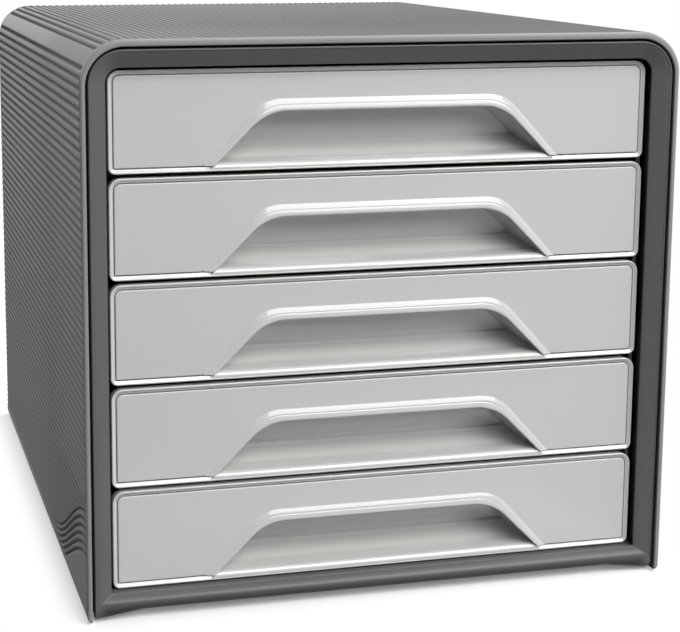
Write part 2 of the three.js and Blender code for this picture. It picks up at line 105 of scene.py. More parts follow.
def join(shells: Sequence[Shell]) -> Shell:
    """Several shells as one.

    Args:
        shells: closed shells.

    Returns:
        One shell that holds them all, each with its faces turned out.
    """
    points, faces, count = [], [], 0
    for shell in shells:
        turned = shell.outward()
        points.append(turned.points)
        faces.extend([[n + count for n in face] for face in turned.faces])
        count += len(turned.points)
    return Shell(np.concatenate(points), faces)


def grid_faces(rows: int, columns: int, loop_rows: bool, loop_columns: bool) -> np.ndarray:
    """Quads of a grid of points numbered row by row.

    Args:
        rows: number of rows.
        columns: number of points in a row.
        loop_rows: the last row joins the first.
        loop_columns: the last column joins the first.

    Returns:
        Array of quads, each the point numbers (r, c), (r, c+1), (r+1, c+1), (r+1, c).
    """
    r = np.arange(rows if loop_rows else rows - 1)[:, None]
    c = np.arange(columns if loop_columns else columns - 1)[None, :]
    r_next, c_next = (r + 1) % rows, (c + 1) % columns
    quads = [r * columns + c, r * columns + c_next, r_next * columns + c_next, r_next * columns + c]
    return np.stack([np.broadcast_to(q, (r.size, c.size)) for q in quads], -1).reshape(-1, 4)


def tube(points: np.ndarray, loop_rows: bool = False) -> Shell:
    """A shell of closed rings: row after row of the grid, with flat ends where the rows don't loop.

    Args:
        points: array (rows, ring, 3) of points.
        loop_rows: the last ring joins the first, as round a torus.

    Returns:
        The closed shell.
    """
    rows, columns = points.shape[:2]
    faces = grid_faces(rows, columns, loop_rows, True).tolist()
    if not loop_rows:
        faces.append(list(range(columns))[::-1])
        faces.append([(rows - 1) * columns + k for k in range(columns)])
    return Shell(points.reshape(-1, 3), faces)


def add_object(name: str, data: bpy.types.ID) -> bpy.types.Object:
    """A new object that holds this data, linked to the scene.

    Args:
        name: name of the object.
        data: its mesh, lamp or camera.

    Returns:
        The object, unturned at the origin.
    """
    added = bpy.data.objects.new(name, data)
    bpy.context.scene.collection.objects.link(added)
    return added


def make_piece(name: str, shell: Shell, body: str, finish: "Finish",
               replaces: Sequence[str], sharp: float = 32.0,
               painted_shade: Optional[np.ndarray] = None) -> None:
    """Puts a shell into the scene as a piece that rides on a body.

    Args:
        name: name of the piece.
        shell: its closed surface, in millimetres.
        body: the CAD body it moves with.
        finish: what it is made of.
        replaces: CAD nodes that it stands for.
        sharp: edges over this angle in degrees are drawn sharp.
        painted_shade: for each point, how much painted shade it gets, from 0 to 1, for finishes that read it.
    """
    mesh = bpy.data.meshes.new(name)
    mesh.from_pydata((shell.points * MM).tolist(), [], shell.faces)
    mesh.polygons.foreach_set("use_smooth", np.ones(len(mesh.polygons), bool))
    mesh.update()
    mesh.set_sharp_from_angle(angle=math.radians(sharp))
    # Painted shade, kept as a point attribute for the finish to darken the colour by
    if painted_shade is not None:
        shade = mesh.attributes.new("painted_shade", "FLOAT", "POINT")
        shade.data.foreach_set("value", painted_shade.astype(np.float32))
    mesh.materials.append(finish.material())
    piece = add_object(name, mesh)
    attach(piece, body)
    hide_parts(*replaces)
    LOG.info("%s: %d faces on %s", name, len(mesh.polygons), body)


# Outlines

def arc(x: Number, z: Number, radius: Number, start: float, end: float, steps: int) -> np.ndarray:
    """Points on a circle: centre plus radius times (cos a, sin a), for angles in degrees.

    Args:
        x: centre, first coordinate.
        z: centre, second coordinate.
        radius: radius of the circle.
        start: first angle in degrees.
        end: last angle in degrees.
        steps: number of chords.

    Returns:
        Array (steps + 1, 2).
    """
    a = np.radians(np.linspace(start, end, steps + 1))
    return np.stack([x + radius * np.cos(a), z + radius * np.sin(a)], -1)


def ring(half: Number, low: Number, high: Number, low_radius: Number, high_radius: Number,
         steps: int = 10) -> np.ndarray:
    """Rounded rectangle about x = 0: four quarter circles, with straight sides between their ends.

    Args:
        half: half its width.
        low: height of its foot.
        high: height of its top.
        low_radius: radius of the two lower corners.
        high_radius: radius of the two upper corners.
        steps: chords in each corner.

    Returns:
        Array (points, 2), counter-clockwise from the lower right corner.
    """
    low_radius = max(low_radius, SMALLEST_RADIUS)
    high_radius = max(high_radius, SMALLEST_RADIUS)
    return np.concatenate([
        arc(half - low_radius, low + low_radius, low_radius, -90, 0, steps),
        arc(half - high_radius, high - high_radius, high_radius, 0, 90, steps),
        arc(high_radius - half, high - high_radius, high_radius, 90, 180, steps),
        arc(low_radius - half, low + low_radius, low_radius, 180, 270, steps)])


def at_depth(outline: np.ndarray, y: Union[Number, np.ndarray]) -> np.ndarray:
    """An outline in x and z as points in space at depth y, which may differ from point to point."""
    depth = np.broadcast_to(np.asarray(y, float), outline.shape[:1])
    return np.stack([outline[:, 0], depth, outline[:, 1]], -1)


def at_height(outline: np.ndarray, z: Number) -> np.ndarray:
    """An outline in x and y as points in space at height z."""
    return np.column_stack([outline, np.full(len(outline), float(z))])


def smooth_step(t: np.ndarray) -> np.ndarray:
    """3 t^2 - 2 t^3 for t held between 0 and 1."""
    t = np.clip(t, 0, 1)
    return t * t * (3 - 2 * t)


def rounded_block(low: Sequence[Number], high: Sequence[Number], radius: Number) -> Shell:
    """A block with its upright edges round and its top and bottom edges chamfered.

    Args:
        low: lowest corner.
        high: highest corner.
        radius: radius of the upright edges, and width of the chamfers.

    Returns:
        The closed shell: rings of the plan outline, drawn in by the radius at both ends.
    """
    (x0, y0, z0), (x1, y1, z1) = low, high
    half = (x1 - x0) / 2
    middle = (x0 + x1) / 2
    rows = []
    for z, inset in ((z0, radius), (z0 + radius, 0), (z1 - radius, 0), (z1, radius)):
        plan = ring(half - inset, y0 + inset, y1 - inset, radius, radius, steps=3)
        rows.append(at_height(plan + [middle, 0], z))
    return tube(np.stack(rows))


# Finishes

class Wire:
    """A shader socket that takes part in Python arithmetic: each operator adds a Math node."""

    def __init__(self, graph: "Graph", socket: Optional[bpy.types.NodeSocket]) -> None:
        """Keeps the graph and the socket."""
        self.graph = graph
        self.socket = socket

    def maths(self, operation: str, *values: Value) -> "Wire":
        """The Math node of that operation on these values."""
        return self.graph.node("ShaderNodeMath", {"operation": operation}, dict(enumerate(values)))

    def __add__(self, other: Value) -> "Wire":
        """self + other."""
        return self.maths("ADD", self, other)

    __radd__ = __add__

    def __sub__(self, other: Value) -> "Wire":
        """self - other."""
        return self.maths("SUBTRACT", self, other)

    def __rsub__(self, other: Value) -> "Wire":
        """other - self."""
        return self.maths("SUBTRACT", other, self)

    def __mul__(self, other: Value) -> "Wire":
        """self * other."""
        return self.maths("MULTIPLY", self, other)

    __rmul__ = __mul__


class Graph:
    """The node tree of one material or world."""

    def __init__(self, tree: bpy.types.NodeTree) -> None:
        """Empties the tree and keeps it."""
        tree.nodes.clear()
        self.tree = tree

    def node(self, kind: str, settings: Optional[dict[str, Any]] = None,
             inputs: Optional[dict[Union[str, int], Any]] = None, output: Union[str, int] = 0) -> Wire:
        """Adds a node.

        Args:
            kind: type of the node.
            settings: its own settings, made before its sockets are filled.
            inputs: value or Wire for each socket, by name or number.
            output: which output is handed back.

        Returns:
            The output as a Wire.
        """
        made = self.tree.nodes.new(kind)
        for key, value in (settings or {}).items():
            setattr(made, key, value)
        for key, value in (inputs or {}).items():
            if isinstance(value, Wire):
                self.tree.links.new(value.socket, made.inputs[key])
            else:
                made.inputs[key].default_value = value
        return Wire(self, made.outputs[output] if made.outputs else None)

    def mix(self, share: Wire, low: Any, high: Any) -> Wire:
        """A colour mixed by a share: sockets 6 and 7 are its two colours, and output 2 is the result."""
        return self.node("ShaderNodeMix", {"data_type": "RGBA"}, {0: share, 6: low, 7: high}, output=2)


def tint(colour: Sequence[float], factor: float) -> tuple[float, float, float, float]:
    """A linear colour times a factor, with full alpha."""
    return (colour[0] * factor, colour[1] * factor, colour[2] * factor, 1.0)


@dataclass(frozen=True)
class Finish:
    """A moulded plastic or rubber: slow colour drift, fine grain in the surface, and gloss.

    Args:
        name: name of the material.
        colour: base colour, linear.
        roughness: mean roughness of the surface.
        roughness_drift: how far roughness wanders either way.
        colour_drift: share by which the colour wanders either way.
        drift_size: size of the slow drift of the colour in millimetres.
        drift_share: share of the slow drift in the colour's wandering. The rest is in small specks.
        grain_size: size of the surface grain in millimetres.
        grain_depth: depth of the grain in millimetres.
        speck_grains: size of a speck, counted in grains.
        wave_size: size of the slow moulding waves in millimetres.
        wave_depth: depth of those waves in millimetres.
        coat: weight of the clear gloss over the colour.
        coat_roughness: roughness of that gloss.
        specular: how strongly the surface under the coat mirrors, 0.5 being plain plastic.
        painted_shade_tone: tone of the colour where a piece's painted shade attribute is 1: painted shade at
            the bottom of a groove, on the cover rim's flat side and under the rail's nose, where little light
            gets in.
        groove_roughness: how much rougher the plastic is there.
        painted_highlight_tone: how much lighter the front edge is painted than the rest, a painted highlight.
        rim_polish: how much smoother that edge is.
        rim_start: depth in millimetres at which the painted highlight on the front edge begins.
        rim_end: depth at which it has its full tone.
    """

    name: str
    colour: tuple[float, float, float]
    roughness: float
    roughness_drift: float = 0.03
    colour_drift: float = 0.03
    drift_size: float = 55.0
    drift_share: float = 0.7
    grain_size: float = 0.5
    grain_depth: float = 0.004
    speck_grains: float = 4.0
    wave_size: float = 40.0
    wave_depth: float = 0.0
    coat: float = 0.0
    coat_roughness: float = 0.04
    specular: float = 0.5
    painted_shade_tone: float = 1.0
    groove_roughness: float = 0.2
    painted_highlight_tone: float = 1.0
    rim_polish: float = 0.3
    rim_start: float = -178.6
    rim_end: float = -179.2

    def material(self) -> bpy.types.Material:
        """The material, made the first time it is asked for."""
        made = bpy.data.materials.get(self.name)
        return made if made else self.build()

    def build(self) -> bpy.types.Material:
        """Makes the material on object coordinates.

        Colour is the base colour mixed by slow noise and specks, then darkened by painted shade where the
        piece's painted shade attribute says, and lightened on the rim by a painted highlight. Roughness is
        its mean plus noise.
        The bump is grain noise plus wave noise.

        Returns:
            The material.
        """
        material = bpy.data.materials.new(self.name)
        material.use_nodes = True
        graph = Graph(material.node_tree)
        place = graph.node("ShaderNodeTexCoord", output="Object")
        drift = self.noise(graph, place, self.drift_size, 2.0)
        speck = self.noise(graph, place, self.speck_grains * self.grain_size, 3.0)
        blend = self.drift_share * drift + (1 - self.drift_share) * speck
        darker = tint(self.colour, 1 - self.colour_drift)
        lighter = tint(self.colour, 1 + self.colour_drift)
        colour = graph.mix(blend, darker, lighter)
        rough = self.roughness + (speck - 0.5) * (2 * self.roughness_drift)
        # Painted shade: the piece's attribute darkens the colour in grooves, on the rim's flat side and under
        # the rail's nose
        if self.painted_shade_tone != 1:
            painted_shade = graph.node("ShaderNodeAttribute", {"attribute_name": "painted_shade"}, output="Fac")
            colour = graph.mix(painted_shade, colour, tint(self.colour, self.painted_shade_tone))
            rough = rough + painted_shade * self.groove_roughness
        # Painted highlight: the front edge's colour is lightened by its depth
        if self.painted_highlight_tone != 1:
            depth = graph.node("ShaderNodeSeparateXYZ", None, {0: place}, output=1)
            edge = graph.node("ShaderNodeMapRange", None, {
                "Value": depth, "From Min": self.rim_start * MM, "From Max": self.rim_end * MM})
            colour = graph.mix(edge, colour, tint(self.colour, self.painted_highlight_tone))
            rough = rough - edge * self.rim_polish
        grain = self.noise(graph, place, self.grain_size, 2.0)
        bump = graph.node("ShaderNodeBump", None, {
            "Strength": 1.0, "Distance": self.grain_depth * MM, "Height": grain})
        if self.wave_depth:
            wave = self.noise(graph, place, self.wave_size, 1.0)
            bump = graph.node("ShaderNodeBump", None, {
                "Strength": 1.0, "Distance": self.wave_depth * MM, "Height": wave, "Normal": bump})
        shader = graph.node("ShaderNodeBsdfPrincipled", None, {
            "Base Color": colour, "Roughness": rough, "Coat Roughness": self.coat_roughness,
            "Coat Weight": self.coat, "Specular IOR Level": self.specular, "Normal": bump})
        graph.node("ShaderNodeOutputMaterial", None, {"Surface": shader})
        return material

    @staticmethod
    def noise(graph: Graph, place: Wire, size: float, detail: float) -> Wire:
        """Fractal noise from 0 to 1 on these coordinates, with features of a size in millimetres."""
        return graph.node("ShaderNodeTexNoise", None, {
            "Vector": place, "Scale": 1 / MM / size, "Detail": detail})


# The cover: painted shade in its grooves and on the rim's flat side, and a painted highlight on its front
# edge
HOUSING_SATIN = Finish(
    "housing satin plastic", (0.120, 0.119, 0.115), 0.60, grain_size=0.45, wave_size=60, wave_depth=0.02,
    specular=0.05, painted_highlight_tone=2.45, painted_shade_tone=0.25)
# The bezel: painted shade under the rail's nose
BEZEL_SATIN = Finish(
    "bezel satin plastic", (0.112, 0.111, 0.107), 0.28, roughness_drift=0.015, grain_size=0.45,
    grain_depth=0.0006, wave_size=60, wave_depth=0.01, specular=0.2, painted_shade_tone=0.3)
INNER_SATIN = Finish(
    "inner housing plastic", (0.105, 0.104, 0.100), 0.5, grain_size=0.6, grain_depth=0.01)
DRAWER_GLOSS = Finish(
    "drawer light grey plastic", (0.56, 0.57, 0.55), 0.14, colour_drift=0.012, grain_size=0.8,
    grain_depth=0.001, wave_size=35, wave_depth=0.01, coat=0.8)
FACING_GLOSS = Finish(
    "facing high gloss plastic", (0.57, 0.58, 0.565), 0.07, roughness_drift=0.01, colour_drift=0.01,
    grain_size=1.5, grain_depth=0.0005, wave_size=60, wave_depth=0.012, coat=0.6, specular=0.25)
PAD_RUBBER = Finish("pad rubber", (0.012, 0.012, 0.012), 0.8, grain_size=0.4, grain_depth=0.02)


# The housing

@dataclass
class SideRibs:
    """Grooves of the cover's outside, and the band of curved grooves low at the front of each side.

    Distances are counted along the outside, from the middle of the top outwards and down.

    Args:
        top_pitch: distance between two grooves of the top.
        top_count: number of grooves on each half of the top.
        first_height: height of a side's lowest groove.
        first_pitch: distance from it to the next one.
        pitch_growth: how much larger each pitch is than the one below it.
        side_count: number of grooves on a side.
        width: width of a groove.
        depth: depth of a groove.
        stations: places of the mesh's rows across a groove, as shares of its width.
        widest_pitch: two grooves further apart than this have the bare corner between them.
        band_start: place of the front ends of the band's curves, in y.
        band_length: length over which the curves fall to their rear ends.
        band_top: height of the band's top curve at its front and its rear end.
        band_foot: the same for its lowest curve.
        band_grooves: number of curved grooves.
        band_width: width of each of them.
        clear_share: share of a groove's width that stays bare above the band's top curve.
        clear_fade: height over which the straight grooves reach their depth above that.
        end_fade: length over which the grooves run out behind the rim.
        end_share: share of their depth that they have halfway there.
        band_rows: rows of the mesh along the band.
        band_margin: least distance that the band's finer mesh reaches above its top curve.
        foot_fade: height over which the band's grooves fade out above the patch's foot.
    """

    top_pitch: float = 4.09
    top_count: int = 34
    first_height: float = 7.87
    first_pitch: float = 3.404
    pitch_growth: float = 0.0228
    side_count: int = 62
    width: float = 3.3
    depth: float = 1.1
    stations: tuple[float, ...] = (-0.5, -0.3333, -0.1667, 0, 0.1667, 0.3333, 0.5)
    widest_pitch: float = 6.0
    band_start: float = -180.0
    band_length: float = 121.0
    band_top: tuple[float, float] = (53.0, 11.0)
    band_foot: tuple[float, float] = (32.3, -4.6)
    band_grooves: int = 6
    band_width: float = 3.2
    clear_share: float = 0.3
    clear_fade: float = 1.2
    end_fade: float = 0.8
    end_share: float = 0.6
    band_rows: int = 110
    band_margin: float = 3.0
    foot_fade: float = 1.2

    def side_heights(self) -> np.ndarray:
        """Heights of the side's grooves: the n-th is first + n pitches + growth times n (n - 1) / 2."""
        n = np.arange(self.side_count)
        return self.first_height + self.first_pitch * n + self.pitch_growth * n * (n - 1) / 2

    def top_places(self) -> np.ndarray:
        """Distances of one half's top grooves from the middle of the top: (j + 1/2) pitches."""
        return (np.arange(self.top_count) + 0.5) * self.top_pitch

    def groove(self, off: np.ndarray, width: float) -> np.ndarray:
        """Depth share of a groove at a distance off its middle: (1 + cos(2 pi off / width)) / 2 inside it."""
        inside = np.abs(off) < width / 2
        return np.where(inside, (1 + np.cos(2 * np.pi * off / width)) / 2, 0)

    def band_edge(self, y: np.ndarray, ends: tuple[float, float]) -> np.ndarray:
        """Height of a curve of the band: from its front end to its rear end by a smooth step in y."""
        return ends[0] - (ends[0] - ends[1]) * smooth_step((y - self.band_start) / self.band_length)

    def low_depth(self, y: np.ndarray, z: np.ndarray) -> np.ndarray:
        """Groove depth low on a side, where the band runs.

        Args:
            y: depths of the points.
            z: heights of the points.

        Returns:
            The straight grooves where a point lies above the band's top curve, the curved ones where
            it lies between the band's curves, and nothing below, in millimetres.
        """
        top, foot = self.band_edge(y, self.band_top), self.band_edge(y, self.band_foot)
        middles = self.side_heights()
        off = z - middles[np.abs(z[..., None] - middles).argmin(-1)]
        above = smooth_step((z - top - self.width * self.clear_share) / self.clear_fade)
        straight = self.groove(off, self.width) * above
        step = (top - foot) / (self.band_grooves - 1)
        level = np.clip(np.round((z - foot) / step), 0, self.band_grooves - 1)
        curved = self.groove(z - foot - level * step, self.band_width)
        return self.depth * np.maximum(straight, curved)


@dataclass
class HousingCover:
    """The U-shaped moulding of both sides and the top, with a flange turned in under each side.

    Args:
        width: its width.
        depth: its depth from front to back.
        height: height of its top.
        foot: height of its lower edge.
        wall: thickness of its wall.
        top_radius: radius of the two upper corners.
        foot_radius: radius between a side and its flange.
        flange: how far the flange reaches in from the side's outside.
        flange_setback: how far behind the front the flange starts.
        flange_blend: distance behind the front at which that setback has died away.
        setback_lead: how far before the end of the foot's corner that setback begins.
        setback_length: length over which it grows to its full size, from there inwards.
        rim_depth: depth of the smooth rim in front of the grooves.
        rim_rounding: radius of the side rim's two edges, and of the top rim's inner edge.
        rim_blend: distances behind the front between which the rim's thickness becomes the wall's.
        back_chamfer: width of the chamfers at the back edge.
        top_rim: thickness of the rim along the top.
        top_rounding: radius of its outer edge there.
        rim_painted_shade: how much painted shade the rim's flat side gets, from 0 to 1.
        shade_share: how far below the top that shade starts, as a share of the corner's radius.
        shade_fade: height over which it sets in.
        outer_reach: points less far in than this many groove depths belong to the outside.
        flat_reach: points of the rim's flat side are less far in than this.
        corner_margin: distance from the last grooves' middles at which the bare corner's stations begin.
        strip_span: first and last station low on the side, above the foot's corner, as shares of the
            height from the foot to the lowest groove's edge.
        bare_stations: number of stations in the bare corner, and in that strip.
        turn_span: first and last station of the foot's corner, as shares of its length.
        turn_stations: number of stations in it.
        flange_stations: distances from it of the flange's first two stations.
        nearest: least distance between two stations of the mesh.
        ribs: its grooves.
    """

    width: float = 288.0
    depth: float = 360.0
    height: float = 270.0
    foot: float = 1.0
    wall: float = 2.2
    top_radius: float = 20.0
    foot_radius: float = 2.2
    flange: float = 16.0
    flange_setback: float = 18.0
    flange_blend: float = 40.0
    setback_lead: float = 0.1
    setback_length: float = 1.2
    rim_depth: float = 4.0
    rim_rounding: float = 0.75
    rim_blend: tuple[float, float] = (4.5, 8.0)
    back_chamfer: float = 0.35
    top_rim: float = 3.4
    top_rounding: float = 1.65
    rim_painted_shade: float = 0.8
    shade_share: float = 0.6
    shade_fade: float = 8.0
    outer_reach: float = 1.1
    flat_reach: float = 0.3
    corner_margin: float = 2.0
    strip_span: tuple[float, float] = (0.3, 0.75)
    bare_stations: int = 8
    turn_span: tuple[float, float] = (0.02, 1)
    turn_stations: int = 9
    flange_stations: tuple[float, float] = (0.4, 1.2)
    nearest: float = 0.02
    ribs: SideRibs = field(default_factory=SideRibs)

    def lengths(self) -> tuple[float, float, float, float, float]:
        """Lengths along half of the outside, each corner's being a quarter of its circle.

        Returns:
            The lengths of half the top, the top corner, the side, the foot corner and the flange.
        """
        quarter = math.pi / 2
        return (self.width / 2 - self.top_radius, quarter * self.top_radius,
                self.height - self.top_radius - self.foot - self.foot_radius,
                quarter * self.foot_radius, self.flange - self.foot_radius)

    def half_line(self) -> tuple[np.ndarray, np.ndarray]:
        """Stations of one half of the outside, from the middle of the top to the flange's edge.

        Returns:
            Their distances along the outside, and the groove depth share at each.
        """
        top, corner, side, foot, _ = self.lengths()
        side_end = top + corner + side
        foot_end = side_end + foot
        ribs = self.ribs
        heights = ribs.side_heights()[::-1]
        side_places = top + corner + (self.height - self.top_radius) - heights
        middles = np.concatenate([ribs.top_places(), side_places])
        steps = np.array(ribs.stations) * ribs.width
        grooves = (middles[:, None] + steps).ravel()
        shares = np.broadcast_to(ribs.groove(steps, ribs.width), (len(middles), len(steps))).ravel()
        # Bare stations: lands between grooves, the corner, the strip low on the side, foot and flange
        near = middles[1:] - middles[:-1] < ribs.widest_pitch
        lands = (middles[1:] + middles[:-1])[near] / 2
        bend = np.linspace(middles[ribs.top_count - 1] + self.corner_margin,
                           middles[ribs.top_count] - self.corner_margin, self.bare_stations)
        below = heights[-1] - ribs.width / 2 - self.foot
        strip = side_end - np.linspace(*self.strip_span, self.bare_stations) * below
        turn = side_end + foot * np.linspace(*self.turn_span, self.turn_stations)
        flange = [foot_end + distance for distance in self.flange_stations]
        bare = np.concatenate([lands, bend, strip, turn, flange, [sum(self.lengths())]])
        places = np.concatenate([[0.0], grooves, bare])
        depths = np.concatenate([[0.0], shares, np.zeros(len(bare))])
        order = np.argsort(places)
        keep = np.concatenate([[True], np.diff(places[order]) > self.nearest])
        return places[order][keep], depths[order][keep]

    def outside(self, places: np.ndarray) -> tuple[np.ndarray, np.ndarray]:
        """The right half of the outside.

        Args:
            places: distances from the middle of the top.

        Returns:
            The points in x and z, and the unit normals that point inwards.
        """
        top, corner, side, foot, _ = self.lengths()
        a = np.clip((places - top) / self.top_radius, 0, math.pi / 2)
        x = np.minimum(places, top) + self.top_radius * np.sin(a)
        z = self.height - self.top_radius * (1 - np.cos(a))
        z = z - np.clip(places - top - corner, 0, side)
        b = np.clip((places - top - corner - side) / self.foot_radius, 0, math.pi / 2)
        x = x - self.foot_radius * (1 - np.cos(b))
        z = z - self.foot_radius * np.sin(b)
        x = x - np.clip(places - top - corner - side - foot, 0, None)
        angle = a + b
        inward = np.stack([-np.sin(angle), -np.cos(angle)], -1)
        return np.stack([x, z], -1), inward

    def shell(self) -> Shell:
        """Carries the wall's profile along the outside.

        A point is the outside's point, plus inset times the inward normal, at its depth y. Inset and
        depth blend from the side's profile to the top's by how far the outside faces up, and the groove
        depth is added to the inset on the outer rows behind the rim.

        Returns:
            The closed shell.
        """
        places, shares = self.half_line()
        right, inward = self.outside(places)
        flip = np.array([-1, 1])
        line = np.concatenate([right[::-1], right[1:] * flip])
        normal = np.concatenate([inward[::-1], inward[1:] * flip])
        share = np.concatenate([shares[::-1], shares[1:]])
        far = np.concatenate([places[::-1], places[1:]])
        up = np.clip(-normal[:, 1], 0, 1)[:, None]
        side = self.profile(self.wall, self.rim_rounding)
        top = self.profile(self.top_rim, self.top_rounding)
        groove = (share * self.ribs.depth)[:, None] * side[:, 2]
        inset = side[:, 0] * (1 - up) + top[:, 0] * up + groove
        y = side[:, 1] * (1 - up) + top[:, 1] * up
        past = far - sum(self.lengths()[:4]) + self.setback_lead
        under = smooth_step(past / self.setback_length) * self.flange_setback
        near_front = (self.flange_blend - self.depth / 2 - side[:, 1]) / self.flange_blend
        y = y + under[:, None] * np.clip(near_front, 0, 1)
        xz = line[:, None, :] + inset[..., None] * normal[:, None, :]
        points = np.stack([xz[..., 0], y, xz[..., 1]], -1)
        return self.with_band(points, line, side)

    def profile(self, wall: float, rounding: float) -> np.ndarray:
        """The wall's section from the back edge forwards outside, round the rim, and back inside.

        Args:
            wall: thickness at the rim.
            rounding: radius of the rim's outer edge. The inner edge has the side rim's radius.

        Returns:
            Array (rows, 3) of inset, depth and groove weight. Both edges are quarter circles.
        """
        front, back, w, cut = -self.depth / 2, self.depth / 2, self.wall, self.back_chamfer
        ribs, rim_back = self.ribs, front + self.rim_depth
        rows = [(cut, back, 0),
                (0, back - cut, 1),
                (0, ribs.band_start + ribs.band_length, 1),
                (0, rim_back + ribs.end_fade, 1),
                (0, rim_back + ribs.end_fade * 0.5, ribs.end_share),
                (0, rim_back, 0)]
        angles = np.radians(np.linspace(0, 90, 7))
        for a in angles:
            rows.append((rounding * (1 - math.cos(a)), front + rounding * (1 - math.sin(a)), 0))
        for a in angles[::-1]:
            rows.append((wall - self.rim_rounding * (1 - math.cos(a)),
                         front + self.rim_rounding * (1 - math.sin(a)), 0))
        rows += [(wall, front + self.rim_blend[0], 0),
                 (w, front + self.rim_blend[1], 0),
                 (w, back - cut, 0),
                 (w - cut, back, 0)]
        return np.array(rows)

    def with_band(self, points: np.ndarray, line: np.ndarray, profile: np.ndarray) -> Shell:
        """Closes the shell, with a finer patch low on each side for the band of curved grooves.

        Args:
            points: array (stations, profile, 3).
            line: the stations' points on the outside.
            profile: the profile's insets, depths and groove weights.

        Returns:
            The closed shell. A patch's depth comes from SideRibs.low_depth, and fades out at its foot.
        """
        ribs = self.ribs
        stations, count = points.shape[:2]
        points = points.copy()
        heights = ribs.side_heights()
        n = int(np.argmax(heights > ribs.band_top[0] + ribs.band_margin))
        limit = (heights[n] + heights[n + 1]) / 2 + TINY
        quads = grid_faces(stations, count, False, True)
        row, column = quads[:, 0] // count, quads[:, 0] % count
        keep = np.ones(len(quads), bool)
        faces, added, base = [], [], stations * count
        for side in (-1, 1):
            upright = side * line[:, 0] > self.width / 2 - TINY
            inside = np.nonzero(upright & (line[:, 1] < limit))[0]
            first, last = int(inside[0]), int(inside[-1])
            # The patch lies between the profile's rows 2 and 3, which keep their own point numbers
            rows = np.linspace(profile[2, 1], profile[3, 1], ribs.band_rows)
            yy, zz = np.meshgrid(rows, line[first:last + 1, 1], indexing="xy")
            depth = ribs.low_depth(yy, zz) * np.clip((zz - zz.min()) / ribs.foot_fade, 0, 1)
            patch = np.stack([side * (self.width / 2 - depth), yy, zz], -1)
            points[first:last + 1, 2, 0] = patch[:, 0, 0]
            points[first:last + 1, 3, 0] = patch[:, -1, 0]
            points[first:last + 1, 4, 0] = side * (self.width / 2 - ribs.end_share * depth[:, -1])
            keep &= ~((column == 2) & (row >= first - 1) & (row <= last))
            middle = patch[:, 1:-1]
            new = middle.shape[0] * middle.shape[1]
            number = np.arange(new).reshape(middle.shape[:2]) + base
            ends = np.arange(first, last + 1)[:, None] * count
            table = np.concatenate([ends + 2, number, ends + 3], 1)
            quad = [table[:-1, :-1], table[:-1, 1:], table[1:, 1:], table[1:, :-1]]
            faces += np.stack(quad, -1).reshape(-1, 4).tolist()
            # One long face joins the patch's many points to the coarser mesh above and below it
            before, after = (first - 1) * count, (last + 1) * count
            faces.append([before + 2, before + 3] + table[0, ::-1].tolist())
            faces.append(table[-1].tolist() + [after + 3, after + 2])
            added.append(middle.reshape(-1, 3))
            base += new
        faces += quads[keep].tolist()
        faces.append(list(range(count))[::-1])
        faces.append([(stations - 1) * count + k for k in range(count)])
        return Shell(np.concatenate([points.reshape(-1, 3), *added]), faces)

    def painted_shade(self, points: np.ndarray) -> np.ndarray:
        """Painted shade for each point: how deep in its groove it lies.

        Args:
            points: array (points, 3).

        Returns:
            The inset from the smooth outside, which is the corner's radius minus the distance from the
            corner's axis, as a share of the groove depth. It is nothing on the inner skin and the rim's
            face, and the rim's flat side gets part of this painted shade, where the ribs' shade falls on it.
        """
        dx = np.maximum(np.abs(points[:, 0]) - self.width / 2 + self.top_radius, 0)
        dz = np.maximum(points[:, 2] - self.height + self.top_radius, 0)
        inset = self.top_radius - np.hypot(dx, dz)
        rim_back = self.rim_depth - self.depth / 2
        outer = inset < self.ribs.depth * self.outer_reach
        outer &= (points[:, 1] > rim_back) & (points[:, 2] > self.foot + self.foot_radius)
        share = np.where(outer, np.clip(inset / self.ribs.depth, 0, 1), 0)
        flat_side = (inset < self.flat_reach) & (points[:, 1] < rim_back + TINY)
        low = self.height - self.top_radius * self.shade_share - points[:, 2]
        return np.where(flat_side, smooth_step(low / self.shade_fade) * self.rim_painted_shade, share)

    def build(self) -> None:
        """Makes the cover and puts it in the CAD cover's place."""
        whole = self.shell().outward()
        make_piece("housing_cover_ribbed", whole, "housing", HOUSING_SATIN,
                   ["housing_cover"], 50, self.painted_shade(whole.points))


